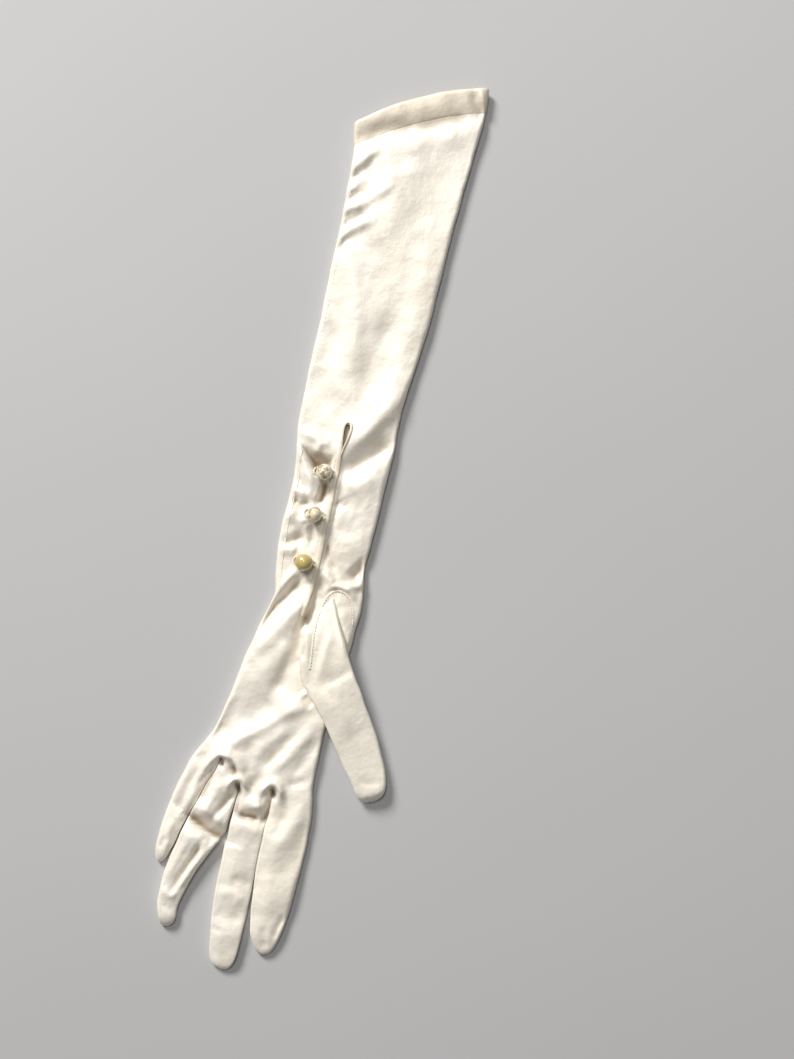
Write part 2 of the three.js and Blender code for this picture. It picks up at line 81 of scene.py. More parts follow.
LIP_COLUMNS = 4  # columns on each side that give way to the slit
SLEEVE_STEP = 2.0  # spacing of the sections above the wrist
HAND_STEP = 1.2  # and from the wrist to the fingertips
WRIST_TOP = 84.0
TOP_COLUMNS = 76
UNDER_COLUMNS = 20
SLIT_COLUMN = 35
HEM_WIDTH = 16.0
HEM_WALL = 0.35
HEM_INSET = 0.15  # how far the sleeve lies inside its hem
HEM_INSET_START = 0.5  # how far before the hem's edge the sleeve begins to come out
HEM_INSET_LENGTH = 1.5
HEM_TUCK = 0.4  # how far the hem's sewn edge sinks into the sleeve
HEM_TUCK_LENGTH = 1.8
SIDE_INSET = 0.7  # how much of an inset goes to the sides

# A section across the cloth: its two ends in plan, its height, and how far its middle bows up.
Section = namedtuple("Section", "left_x left_y right_x right_y loft bow", defaults=[0.0])
ARM = [
    Section(-38, 254, 40, 294, 9, 5),
    Section(-35, 239, 41.5, 277.5, 8.4, 4),
    Section(-33.8, 228, 40.5, 256, 7.8, 2),
    Section(-33, 212, 39, 228, 7.6, 1),
    Section(-32, 190, 37.6, 196, 7.6),
    Section(-32, 165, 37, 165, 7.6),
    Section(-31, 135, 36.3, 135, 7.6),
    Section(-31, 105, 33.5, 105, 7.6),
    Section(-30.5, 82, 32, 82, 7.6),
    Section(-29.5, 60, 33, 60, 7.6),
    Section(-27.2, 46, 33, 46, 7.6),
    Section(-25.2, 32, 32.7, 32, 7.6),
    Section(-25, 18, 32.6, 18, 7.6),
    Section(-25.5, 0, 32.2, 0, 7.6),
    Section(-24.8, -17, 31.6, -17, 7.6),
    Section(-22.5, -32, 34, -32, 7.6),
    Section(-20.5, -45, 35, -45, 7.6),
    Section(-23.5, -60, 34.5, -60, 7.6),
    Section(-28, -80, 33.5, -80, 7.6),
    Section(-31.5, -100, 31.5, -100, 7.6),
    Section(-34.5, -120, 30, -120, 7.4),
    Section(-38.5, -137, 30, -140, 7.2),
    Section(-45, -150, 30.8, -160, 7),
]
KNUCKLE_START = -120.0  # where the sections begin to take up the line of the finger roots
KNUCKLE_LENGTH = KNUCKLE_START - (ARM[-1].left_y + ARM[-1].right_y) / 2
KNUCKLE_CURVE = 1.7  # above 1, they take it up late
SIDE_TUCK = 0.08  # how far a finger's side strip lies in from the widest line
SIDE_HEIGHT = 0.88  # how high a finger's inner seams lie, as a share of its thickness

# The line of the finger roots, left to right: share of the columns, and where its points lie.
Root = namedtuple("Root", "column under x y")
ROOTS = [
    Root(0, 0, -45, -150),
    Root(16, 4, -29.2, -152.5),
    Root(33, 9, -14.2, -164.5),
    Root(52, 14, 5.9, -162.5),
    Root(76, 20, 30.8, -160),
]
FINGER_NAMES = ["little", "ring", "middle", "index"]
SIDE_POINTS = 3  # points down each side strip between its two seams
SIDE_FOOT = 0.2  # height of its lower seam
SIDE_LAY = 6  # its width as flat cloth
ROOT_BLEND = 13.0  # how far down a finger its section leaves the palm's
FINGERS = {
    "little": [
        Section(-45, -150, -29.2, -152.5, 7),
        Section(-49.2, -160, -31.7, -161, 6.6),
        Section(-51.7, -170, -34.9, -170, 6.4),
        Section(-54, -180, -37.9, -180, 6.2),
        Section(-55.6, -190, -41.2, -190, 6),
        Section(-57, -200, -43.9, -200, 5.6),
        Section(-57.6, -210, -46.1, -210, 5.6),
        Section(-57.4, -218, -48.2, -218, 5.6),
        Section(-56.2, -223, -49.8, -223, 4.6),
        Section(-54.6, -226, -51.8, -226, 2.6),
    ],
    "ring": [
        Section(-29.2, -152.5, -14.2, -164.5, 7),
        Section(-31.4, -161, -14.7, -170, 7),
        Section(-34.6, -170, -15, -177, 7),
        Section(-37.6, -180, -15.6, -184.5, 7.2),
        Section(-40.2, -188, -16.4, -193, 7.4),
        Section(-41.8, -194.5, -17.4, -200, 6.4),
        Section(-43.4, -202, -20, -206, 7),
        Section(-45.2, -211, -23.6, -213, 6.8),
        Section(-47.1, -220, -27.2, -221, 6.6),
        Section(-48.3, -230, -30.4, -230, 6.4),
        Section(-49, -240, -33.4, -240, 6.2),
        Section(-48.5, -250, -35.4, -250, 6.4),
        Section(-46.3, -258, -35.5, -258, 6.4),
        Section(-44.4, -262.5, -36.8, -262.5, 5),
        Section(-42.6, -265, -39.4, -265, 2.6),
    ],
    "middle": [
        Section(-14.2, -164.5, 5.9, -162.5, 7),
        Section(-14.4, -172, 6.5, -171, 6.8),
        Section(-14.7, -180, 6.8, -180, 7.2),
        Section(-14.9, -188, 6.7, -189, 6.4),
        Section(-15, -196, 6.7, -196, 6.6),
        Section(-15.1, -215, 6.9, -215, 6.4),
        Section(-15, -230, 7.4, -230, 6.2),
        Section(-14, -245, 8, -245, 6.2),
        Section(-12, -260, 7.8, -260, 6.4),
        Section(-10.6, -270, 7.6, -270, 6.4),
        Section(-8.8, -277, 6.8, -277, 5.8),
        Section(-6, -281, 5, -281, 4.6),
        Section(-2, -283, 3, -283, 2.6),
    ],
    "index": [
        Section(5.9, -162.5, 30.8, -160, 7),
        Section(6.6, -171, 33.1, -170, 6.8),
        Section(6.9, -180, 34.3, -180, 6.8),
        Section(6.8, -192, 35, -192, 6.6),
        Section(6.9, -206, 35.1, -206, 6.4),
        Section(7.2, -218, 34.8, -218, 6.4),
        Section(8.5, -230, 34.5, -230, 6.4),
        Section(9.7, -240, 34, -240, 6.2),
        Section(11.3, -250, 32.7, -250, 6.2),
        Section(13.5, -258, 31, -258, 6),
        Section(17.5, -265, 28.8, -265, 4.6),
        Section(20.8, -268.3, 25.6, -268.3, 2.6),
    ],
}

# The thumb lies on the palm and comes down to the floor past its edge.
Lying = namedtuple("Lying", "left_x left_y right_x right_y under_left under_right loft")
THUMB = [
    Lying(15.2, -39.5, 17.6, -39, 5.6, 5.6, 2.2),
    Lying(10.8, -47, 21, -47, 5.2, 5.2, 4),
    Lying(6.6, -57, 26, -57, 6.4, 6.4, 5.2),
    Lying(3.8, -67, 30.6, -65, 7.4, 7.4, 6),
    Lying(4.6, -79, 35, -74, 7.8, 7.8, 6.2),
    Lying(8.2, -92, 41, -84, 7.8, 7.8, 5.9),
    Lying(15, -101, 46.5, -92, 7.8, 7.2, 6),
    Lying(23, -109.5, 51, -99.5, 7.6, 5.8, 6.3),
    Lying(31, -119.5, 56.5, -108, 5.6, 3.8, 6.9),
    Lying(39, -131, 62.5, -117.5, 2.8, 1.7, 8),
    Lying(46, -140.8, 68, -128, 1, 0.5, 8.8),
    Lying(52.5, -149, 72.5, -137.5, 0.2, 0, 9),
    Lying(56.8, -155.2, 75, -146.5, 0, 0, 8.6),
    Lying(60.5, -159.2, 74.3, -153.4, 0, 0, 7),
    Lying(64.6, -161, 70.6, -158.8, 0, 0, 2.8),
]
THUMB_COLUMNS = 32
THUMB_UNDER = 12  # columns of its lower layer
THUMB_CROWN = 1.0
THUMB_SIDE = 0.5  # its sides stand half upright
THUMB_CROWDING = 0.35  # how much closer its columns lie towards the sides

# Folds in the upper layer: the line that each follows, how far it rises (or sinks), and how
# wide it is on its left and on its right, looking along the line.
Fold = namedtuple("Fold", "path rise left right soft", defaults=[False])
SLEEVE_FOLDS = [
    Fold([(-39, 241), (-15, 254), (12, 265), (43, 279)], -2.4, 6.5, 4, True),
    Fold([(-36, 231), (-12, 243), (14, 254), (42, 267)], 1.2, 5, 8, True),
    Fold([(-30, 250), (-18, 256), (-5, 262)], -0.7, 3, 3, True),
    Fold([(31, 290), (34, 282), (41, 276)], -1.6, 2.5, 3),
    Fold([(35, 292), (38, 285), (42, 281)], 1.2, 1.6, 2.2),
    Fold([(-39, 220), (-31, 226), (-20, 241)], 1, 4, 1.8),
    Fold([(-34, 217), (-27, 224), (-17, 238)], -0.8, 2, 3.6, True),
    Fold([(-37, 205), (-31, 211), (-25, 221)], 1.3, 3.6, 2),
    Fold([(-33, 201), (-27, 207), (-21, 217)], -0.9, 2.4, 3, True),
    Fold([(-38, 194), (-30, 200), (-20, 205)], 2, 3.6, 2),
    Fold([(-33, 187), (-25, 195), (-17, 201)], -1.2, 2.2, 3.2, True),
    Fold([(-35, 173), (-30, 182), (-23, 190), (-12, 196)], 1.3, 3.4, 1.8),
    Fold([(-32, 172), (-25, 182), (-12, 191)], -0.8, 2, 4, True),
    Fold([(-25, 202), (-16, 211), (-7, 221)], 0.8, 4.4, 3, True),
    Fold([(-18, 200), (-11, 207), (-3, 218)], -0.8, 3, 4.4, True),
    Fold([(-19, 222), (-6, 227), (9, 232)], 0.6, 4, 2.6, True),
    Fold([(-17, 232), (-12, 222), (-13, 210)], -0.4, 3, 4.6, True),
    Fold([(10, 240), (-4, 218), (-20, 176)], 1.8, 14, 12, True),
    Fold([(30, 262), (22, 230), (8, 196)], -0.8, 12, 12, True),
    Fold([(-24, 172), (-12, 140), (-6, 104)], 1.4, 8, 7, True),
    Fold([(-23, 150), (-19, 124), (-21, 96)], -1.4, 7, 7, True),
    Fold([(16, 150), (10, 118), (3, 82)], -1.7, 10, 10, True),
    Fold([(25, 196), (28, 160), (24, 118)], 1.1, 11, 9, True),
    Fold([(28, 112), (20, 96), (8, 80)], 1, 8, 5, True),
    Fold([(-28, 100), (-20, 88), (-8, 76)], -1.2, 7, 8, True),
]
WRIST_FOLDS = [
    Fold([(2, 50), (9, 60), (17, 71), (26, 87), (32, 101)], 2.1, 7, 5.4, True),
    Fold([(3, 38), (12, 45), (22, 54), (33, 67)], -2.5, 7, 5, True),
    Fold([(8, 29), (16, 33), (25, 40)], 1, 4, 6, True),
    Fold([(-29, 52), (-22, 41), (-15, 32), (-8, 24)], 1.6, 2.2, 4),
    Fold([(-14, 54), (-13.6, 46)], 1.1, 2.4, 2.4, True),
    Fold([(-7, 33), (-5, 28), (-4, 20)], -1.1, 3.6, 2.6),
    Fold([(-26, 58), (-15, 55), (-5, 53)], 1.2, 4, 3, True),
    Fold([(-24, 42), (-22, 33), (-20, 26)], -1.2, 2.4, 2.6, True),
    Fold([(-26, 24), (-20, 21), (-14, 21)], 1.3, 2.4, 2.6, True),
    Fold([(-23, 15), (-16, 13.5), (-10, 17)], -1.7, 3, 3.6),
    Fold([(-24, 7), (-17, 4.5), (-10, 3)], 1.5, 3, 4, True),
    Fold([(-21, -12), (-15, -9), (-9, -4)], -1.6, 3.2, 4),
    Fold([(-8, 3), (-5, -3), (-5, -11)], -1.5, 2.4, 2.2, True),
    Fold([(-24, -18), (-17, -15), (-12, -16)], 1.5, 3, 4, True),
    Fold([(-5, 31), (-4, 24), (-6, 16)], -2.8, 3.2, 2.2),
    Fold([(6, 22), (9, 19), (12, 17)], -1.2, 3.6, 4, True),
    Fold([(4, -6), (8, -14), (14, -24)], -1.5, 2.2, 3),
    Fold([(6, -24), (10, -28), (15, -31)], 1.5, 3, 2.6, True),
    Fold([(34, -12), (28, -20), (24, -27)], -2.1, 3.5, 4),
    Fold([(35, -26), (28, -29.5), (21, -30)], 1.3, 2.8, 2.2),
    Fold([(5, 44), (5.6, 20), (5.6, -8), (6, -26)], -0.9, 2.4, 1.2, True),
]
PALM_FOLDS = [
    Fold([(-9, -27), (-15, -38), (-22, -50)], 1.7, 3, 3, True),
    Fold([(-3, -29), (-11, -42), (-19, -55), (-28, -70)], -3.1, 4.4, 4.6),
    Fold([(2, -38), (-5, -52), (-14, -68), (-25, -86)], 2.4, 5.6, 4.4, True),
    Fold([(4.4, -28), (5, -40), (3.4, -52), (0, -66)], -3.4, 3.4, 2.6),
    Fold([(9, -38), (9, -46), (7, -53)], -0.8, 2, 2.4),
    Fold([(3, -60), (0, -84), (-8, -112)], -2.2, 6, 4.6, True),
    Fold([(-6, -70), (-12, -86), (-18, -100)], 1.2, 6, 6, True),
    Fold([(-28, -90), (-32, -106), (-37, -122)], 1, 13, 3, True),
    Fold([(20, -106), (4, -115), (-10, -129), (-22, -139), (-37, -149)], 2.3, 4.5, 7.5, True),
    Fold([(4, -108), (-9, -121), (-24, -133), (-40, -146)], -2.5, 7, 13, True),
    Fold([(12, -103), (16, -106), (20, -108)], -1.6, 4, 3),
    Fold([(4, -78), (9, -92), (17, -102)], -1.8, 3, 5),
    Fold([(24, -120), (14, -138), (2, -155)], 1.2, 4, 5, True),
    Fold([(28, -128), (22, -142), (16, -156)], -1, 4, 4, True),
    Fold([(8, -124), (-4, -138), (-10, -150)], 1, 4, 5, True),
    Fold([(14, -126), (4, -140), (-3, -152)], -1.1, 3, 4, True),
    Fold([(-30, -112), (-28, -128), (-33, -140)], -0.9, 5, 5, True),
    Fold([(21, -43), (26, -52), (31, -62), (35, -72)], 2, 6, 4, True),
    Fold([(11, -36), (14, -32.6), (19, -31.4), (26, -33), (31, -39)], 1.5, 2.2, 1.3),
]
FINGER_FOLDS = [
    Fold([(-30.5, -160), (-34, -172), (-38, -189)], -1.6, 1.6, 2.2),
    Fold([(-25, -165), (-29, -178), (-34, -190)], 1.4, 3, 3.4, True),
    Fold([(-15.5, -171), (-21, -181), (-27, -194)], -1.9, 2, 2.6),
    Fold([(-45, -192), (-35, -197), (-26, -201), (-13, -204)], -4, 6.5, 1.2),
    Fold([(-41, -184), (-32, -187), (-19, -191)], 1.4, 4, 4, True),
    Fold([(-43, -202), (-33, -206), (-19, -210)], 0.9, 3.4, 5, True),
    Fold([(-25, -201), (-24, -205), (-26, -211)], -0.9, 1.6, 1.8),
    Fold([(-28, -204), (-33, -219), (-41, -241)], -2.1, 1.7, 2.4),
    Fold([(-24, -209), (-31, -222), (-38, -240)], 1.3, 2, 2.2, True),
    Fold([(-38, -206), (-42, -218), (-46, -236)], 1, 2.2, 2.6, True),
    Fold([(-48, -240), (-43, -244), (-37, -243)], 1.2, 2.5, 3, True),
    Fold([(-44, -249), (-41, -253), (-38, -251)], -0.5, 1.8, 2.2),
    Fold([(-9, -174), (-3, -178), (3, -175)], 2.3, 4, 3.6, True),
    Fold([(-12, -183), (-8, -186.4), (-3, -185), (3, -187)], -3, 3.6, 2),
    Fold([(5.6, -170), (6.4, -178), (5.2, -188)], -2.4, 1.5, 1.7),
    Fold([(-13, -192), (-3, -190), (6, -193)], 1, 2.4, 5, True),
    Fold([(-12, -168), (-13.5, -178), (-12.6, -188)], -1.3, 1.6, 2),
    Fold([(-12, -200), (-6, -215), (-9, -232)], 0.8, 6, 5, True),
    Fold([(-8, -226), (0, -224), (7, -227)], -0.7, 3.2, 3.6, True),
    Fold([(-14, -236), (-4, -233), (6, -238)], 0.9, 3, 5, True),
    Fold([(-12, -246), (-3, -250), (6, -247)], -0.8, 5, 5, True),
    Fold([(-12, -257), (-8, -259), (-5, -258)], -0.5, 1.4, 1.6),
    Fold([(-4, -262), (0, -268), (1, -276)], -0.5, 2.6, 3, True),
    Fold([(13, -168), (17, -180), (15, -196)], -1, 5, 4, True),
    Fold([(30, -168), (24, -186), (14, -204)], 0.9, 5, 6, True),
    Fold([(33, -180), (30, -200), (22, -222)], -0.9, 6, 6, True),
    Fold([(10, -215), (18, -228), (22, -244)], 0.8, 6, 6, True),
    Fold([(33, -240), (29, -249), (28, -258)], -1.1, 2, 2.8, True),
    Fold([(20, -250), (22, -258), (25, -264)], -0.8, 2.6, 2.6, True),
    Fold([(-52, -209), (-54, -213), (-53, -217)], -1, 1.8, 1.8),
    Fold([(-42, -158), (-45, -172), (-50, -192)], -0.8, 2.4, 3, True),
    Fold([(-36, -160), (-41, -176), (-46, -194)], 1, 2.4, 2.6, True),
    Fold([(-49, -196), (-52, -206), (-50, -218)], 0.8, 2.2, 2.6, True),
]
THUMB_FOLDS = [
    Fold([(10.6, -46), (9.8, -66), (13, -92)], -0.5, 0.9, 1.3),
    Fold([(5, -72), (6, -76), (6, -80)], -1.3, 1.6, 1.6),
    Fold([(4, -60), (6, -69), (9, -79)], 0.8, 2, 2.6),
    Fold([(5, -87), (8, -93), (10, -98)], -1, 1.8, 1.6),
    Fold([(38, -80), (31, -87), (24, -93)], -0.9, 2, 4),
    Fold([(20, -99), (27, -101), (34, -108)], 0.6, 3, 5, True),
    Fold([(16.2, -40.5), (21.5, -51), (27.4, -63), (33, -76)], 1.2, 2.2, 1.6),
    Fold([(20.5, -58), (18.6, -72), (18.8, -92)], 0.9, 3, 1.8),
    Fold([(15.6, -62), (14.4, -78), (15.5, -94)], -0.7, 3, 3, True),
    Fold([(30, -98), (44, -120), (58, -146)], 0.9, 4, 8),
    Fold([(17, -104), (30, -120), (46, -143)], 0.8, 1.6, 1.4),
    Fold([(26, -112), (32, -117), (37, -123)], -0.5, 2.2, 2.6),
    Fold([(58, -114), (50, -120), (44, -128)], -0.5, 5, 5, True),
    Fold([(71, -145), (64, -148), (57, -146)], -0.5, 2.2, 3, True),
    Fold([(75, -147), (69, -154), (60, -157)], 1.1, 3, 5, True),
]
# Gathered cloth round the roots of the fingers: a raised ring with a hollow in it.
Gather = namedtuple("Gather", "x y radius rise sink")
GATHERS = [
    Gather(-28.8, -155.2, 4.4, 0.9, 3.6),
    Gather(-15.4, -168.6, 4.8, 1, 4),
    Gather(6.8, -167.4, 4.8, 0.9, 3.8),
]
ROOT_FOLDS = [
    Fold([(-38, -164), (-36, -156), (-31, -150), (-25.5, -150.5)], 1.8, 2.6, 2, True),
    Fold([(-31, -149.4), (-24, -150), (-18, -154.2), (-13, -161)], 2.6, 3.4, 1.8),
    Fold([(-22, -172), (-20.5, -165.5), (-16, -161.6), (-11.4, -163.4), (-9.6, -170)], 2.3, 2.4, 1.6),
    Fold([(-1, -172), (0.8, -164.5), (6, -160), (11, -162.6), (13, -171)], 2.3, 2.6, 1.6),
    Fold([(-22, -155), (-20, -158), (-17.5, -163)], -2.4, 1.8, 1.8),
    Fold([(-33, -158), (-37, -166), (-40, -175)], -1.3, 1.8, 2.2, True),
    Fold([(-1, -156), (-5, -161), (-8, -168)], -1.1, 3.2, 3.2, True),
    Fold([(-9, -153), (-11, -149), (-14, -146)], -0.5, 3.4, 3.4, True),
    Fold([(0, -154), (3, -146), (11, -136)], -1.1, 3.5, 3.5, True),
    Fold([(14, -160), (20, -158), (27, -154)], -1, 2.5, 3, True),
    Fold([(14, -166), (17, -174), (17, -186)], -0.7, 3.4, 3.6, True),
]
# The wrist slit: where its line runs, and how far its two lips part from it.
Gape = namedtuple("Gape", "y x left right")
SLIT = [
    Gape(-54, 0.6, 0, 0),
    Gape(-44, 1.9, 0.05, 0.05),
    Gape(-30, 3, 0.05, 0.05),
    Gape(-12, 2.7, 0.05, 0.05),
    Gape(20, 2.3, 0.05, 0.05),
    Gape(40, 2, 0.05, 0.05),
    Gape(52, 1.3, 0.15, 0.3),
    Gape(58, 1, 0.7, 1.2),
    Gape(64, 0.8, 1.35, 2.4),
    Gape(67.5, 0.8, 1.1, 2),
    Gape(70, 0.8, 0, 0),
]
# The columns of the cloth follow it between two heights, and ease away from it over two lengths.
FOLLOW_LOW = -110
FOLLOW_LOW_LENGTH = 50
FOLLOW_HIGH = 200
FOLLOW_HIGH_LENGTH = 80


def ease(t):
    """A share from 0 to 1 with soft ends."""
    t = min(max(t, 0.0), 1.0)
    return t * t * (3 - 2 * t)


def spline(rows, at):
    """A row between a table's rows, on a smooth curve through them; at runs from 0 to 1."""
    span = min(max(at, 0.0), 1.0) * (len(rows) - 1)
    i = min(int(span), len(rows) - 2)
    t = span - i
    before, here, there, after = (rows[min(max(k, 0), len(rows) - 1)] for k in (i - 1, i, i + 1, i + 2))
    mixed = []
    for a, b, c, d in zip(before, here, there, after):
        slope = (c - a) / 2
        next_slope = (d - b) / 2
        cubic = 2 * b - 2 * c + slope + next_slope
        square = -3 * b + 3 * c - 2 * slope - next_slope
        mixed.append(((cubic * t + square) * t + slope) * t + b)
    return type(rows[0])(*mixed)


def middle_of(row):
    """The middle of a section, in plan."""
    return Vector(((row.left_x + row.right_x) / 2, (row.left_y + row.right_y) / 2))


def width_of(row):
    """How wide a section is."""
    return math.hypot(row.right_x - row.left_x, row.right_y - row.left_y)


SPREAD_SAMPLES = 400


def spread(rows):
    """Rows along a table, a step apart, each with how far along the cloth it lies."""
    shares = np.linspace(0, 1, SPREAD_SAMPLES)
    fine = [middle_of(spline(rows, share)) for share in shares]
    travel = [0.0]
    steps = [0.0]
    for a, b in zip(fine, fine[1:]):
        length = (b - a).length
        travel.append(travel[-1] + length)
        steps.append(steps[-1] + length / (SLEEVE_STEP if b.y > WRIST_TOP else HAND_STEP))
    wanted = np.linspace(0, steps[-1], max(2, round(steps[-1])) + 1)
    return [
        (spline(rows, share), along)
        for share, along in zip(np.interp(wanted, steps, shares), np.interp(wanted, steps, travel))
    ]


def bulge(distance, radius):
    """Height of a quarter round at a distance in from its foot, from 0 to 1."""
    inward = 1 - min(max(distance / radius, 0.0), 1.0)
    return math.sqrt(1 - inward * inward)


# One point of a cross-section: its place, how free the cloth is there to rise into folds, and
# its place on the flat cloth.
Point = namedtuple("Point", "x y z free lay_x lay_y")


def top_height(row, t, crown, side_left=0.0, side_right=0.0):
    """Height of the upper layer and how free it is; a side from 0, folded over, to 1, upright."""
    width = width_of(row)
    a, b = t * width, (1 - t) * width
    rim = min(RIM, row.loft * RIM_SHARE)

    def shoulder(distance, side):
        rounding = min(EDGE_ROUND + (INNER_ROUND - EDGE_ROUND) * side, width * ROUND_SHARE)
        return side + (1 - side) * bulge(distance, rounding)

    share = min(shoulder(a, side_left), shoulder(b, side_right))
    height = rim + (row.loft - crown - rim) * share + crown * 4 * t * (1 - t)
    free = min(1.0, FREE_AT_EDGE + a / FREE_REACH + side_left, FREE_AT_EDGE + b / FREE_REACH + side_right)
    return height, free


def under_height(row, t, side_left=False, side_right=False):
    """Height of the lower layer, which curls up to a folded edge, but not to a side strip."""
    width = width_of(row)
    left = math.inf if side_left else t * width
    right = math.inf if side_right else (1 - t) * width
    return min(RIM, row.loft * RIM_SHARE) * (1 - bulge(min(left, right), UNDER_ROUND))


def plan(row, t):
    """Where a share of the way across a section lies in plan."""
    run = Vector((row.right_x - row.left_x, row.right_y - row.left_y))
    up = Vector((-run.y, run.x)).normalized()
    bow = getattr(row, "bow", 0.0) * 4 * t * (1 - t)
    return Vector((row.left_x, row.left_y)) + run * t + up * bow


def along_slit(y, field):
    """One value of the slit's table at a height up the glove."""
    return float(np.interp(y, [g.y for g in SLIT], [getattr(g, field) for g in SLIT]))


def column_share(row, column):
    """How far across a section a column lies, with one column kept on the line of the slit."""
    u = column / TOP_COLUMNS
    u_slit = SLIT_COLUMN / TOP_COLUMNS
    weight = ease((row.left_y - FOLLOW_LOW) / FOLLOW_LOW_LENGTH)
    weight *= ease((FOLLOW_HIGH - row.left_y) / FOLLOW_HIGH_LENGTH)
    share = (along_slit(row.left_y, "x") - row.left_x) / (row.right_x - row.left_x)
    return u + (share - u_slit) * weight * u * (1 - u) / (u_slit * (1 - u_slit))


def root_line(field, value):
    """The line of the finger roots at a column of the upper or the lower layer."""
    columns = [getattr(r, field) for r in ROOTS]
    x = np.interp(value, columns, [r.x for r in ROOTS])
    y = np.interp(value, columns, [r.y for r in ROOTS])
    return Vector((x, y))


def arm_ring(row, travel, inset=0.0):
    """One section of the sleeve and palm: over the top from left to right, and back below."""
    toward_roots = max(0.0, (KNUCKLE_START - middle_of(row).y) / KNUCKLE_LENGTH) ** KNUCKLE_CURVE
    width = row.right_x - row.left_x
    at_side = inset * SIDE_INSET
    row = row._replace(left_x=row.left_x + at_side, right_x=row.right_x - at_side)
    points = []
    for column in range(TOP_COLUMNS + 1):
        t = column_share(row, column)
        spot = plan(row, t) + (root_line("column", column) - plan(ARM[-1], t)) * toward_roots
        height, free = top_height(row, t, SLEEVE_CROWN)
        points.append(Point(spot.x, spot.y, height - inset, free, t * width, travel))
    for column in range(UNDER_COLUMNS - 1, 0, -1):
        t = column / UNDER_COLUMNS
        spot = plan(row, t) + (root_line("under", column) - plan(ARM[-1], t)) * toward_roots
        points.append(Point(spot.x, spot.y, under_height(row, t) + inset, 0.0, -t * width, travel))
    return points


def finger_ring(row, index, along, travel):
    """One section of a finger: its upper face, a side strip, its under face, a side strip."""
    first, last = ROOTS[index], ROOTS[index + 1]
    outer_left, outer_right = index == 0, index == len(ROOTS) - 2
    top = last.column - first.column
    under = last.under - first.under
    width = width_of(row)
    tuck = SIDE_TUCK / width
    upright = 1 - (1 - SIDE_HEIGHT) * ease(along / ROOT_BLEND)
    side_left = 0.0 if outer_left else upright
    side_right = 0.0 if outer_right else upright
    points = []
    for column in range(top + 1):
        t = column / top
        height, free = top_height(row, t, FINGER_CROWN, side_left, side_right)
        left_tuck = 0.0 if outer_left else tuck
        right_tuck = 0.0 if outer_right else tuck
        spot = plan(row, left_tuck + t * (1 - left_tuck - right_tuck))
        points.append(Point(spot.x, spot.y, height, free, t * width, travel))

    def side_strip(seam, at_left):
        strip = []
        for k in range(1, SIDE_POINTS + 1):
            share = k / (SIDE_POINTS + 1)
            bulging = tuck * (1 - math.sin(math.pi * share))
            spot = plan(row, bulging if at_left else 1 - bulging)
            height = seam.z * (1 - share) + SIDE_FOOT * share
            lay_x = seam.lay_x + share * SIDE_LAY
            strip.append(Point(spot.x, spot.y, height, seam.free * (1 - share), lay_x, travel))
        return strip

    left_strip = [] if outer_left else side_strip(points[0], True)
    right_strip = [] if outer_right else side_strip(points[-1], False)
    below = []
    for column in range(under - (1 if outer_right else 0), (0 if outer_left else -1), -1):
        t = column / under
        spot = plan(row, tuck + t * (1 - 2 * tuck))
        height = under_height(row, t, not outer_left, not outer_right)
        below.append(Point(spot.x, spot.y, height, 0.0, -t * width, travel))
    return points + right_strip + below + left_strip[::-1]


def thumb_base(row, t):
    """Height of what the thumb lies on, a share of the way across it."""
    return row.under_left + (row.under_right - row.under_left) * t


def thumb_ring(row, travel):
    """One section of the thumb, whose two sides may lie at different heights."""
    width = width_of(row)
    points = []
    for column in range(THUMB_COLUMNS + 1):
        t = column / THUMB_COLUMNS
        u = t + THUMB_CROWDING * t * (1 - t) * (2 * t - 1)
        height, free = top_height(row, u, THUMB_CROWN, THUMB_SIDE, THUMB_SIDE)
        spot = plan(row, u)
        points.append(Point(spot.x, spot.y, thumb_base(row, u) + height, free, u * width, travel))
    for column in range(THUMB_UNDER - 1, 0, -1):
        t = column / THUMB_UNDER
        spot = plan(row, t)
        height = thumb_base(row, t) + under_height(row, t)
        points.append(Point(spot.x, spot.y, height, 0.0, -t * width, travel))
    return points


def edge_between(bm, a, b):
    """The edge between two vertices, made if it isn't there."""
    return bm.edges.get((a, b)) or bm.edges.new((a, b))


def ring_edges(bm, ring):
    """The edges round a ring of vertices."""
    return [edge_between(bm, a, b) for a, b in zip(ring, ring[1:] + ring[:1])]


def drawn_out(bm, ring):
    """Extrudes a ring's edges and returns the new ring, in the same order."""
    made = bmesh.ops.extrude_edge_only(bm, edges=ring_edges(bm, ring))["geom"]
    fresh = {g for g in made if isinstance(g, bmesh.types.BMVert)}
    following = []
    for vert in ring:
        following.append(next(v for v in (e.other_vert(vert) for e in vert.link_edges) if v in fresh))
    return following


def mesh_object(bm, name):
    """A finished mesh as an object of the scene, smooth shaded."""
    mesh = bpy.data.meshes.new(name)
    for face in bm.faces:
        face.smooth = True
    bm.to_mesh(mesh)
    bm.free()
    obj = bpy.data.objects.new(name, mesh)
    bpy.context.scene.collection.objects.link(obj)
    return obj


def drawn_object(bm, name):
    """The same for a mesh of drawn tubes, whose faces are first turned outwards."""
    bmesh.ops.recalc_face_normals(bm, faces=bm.faces)
    return mesh_object(bm, name)


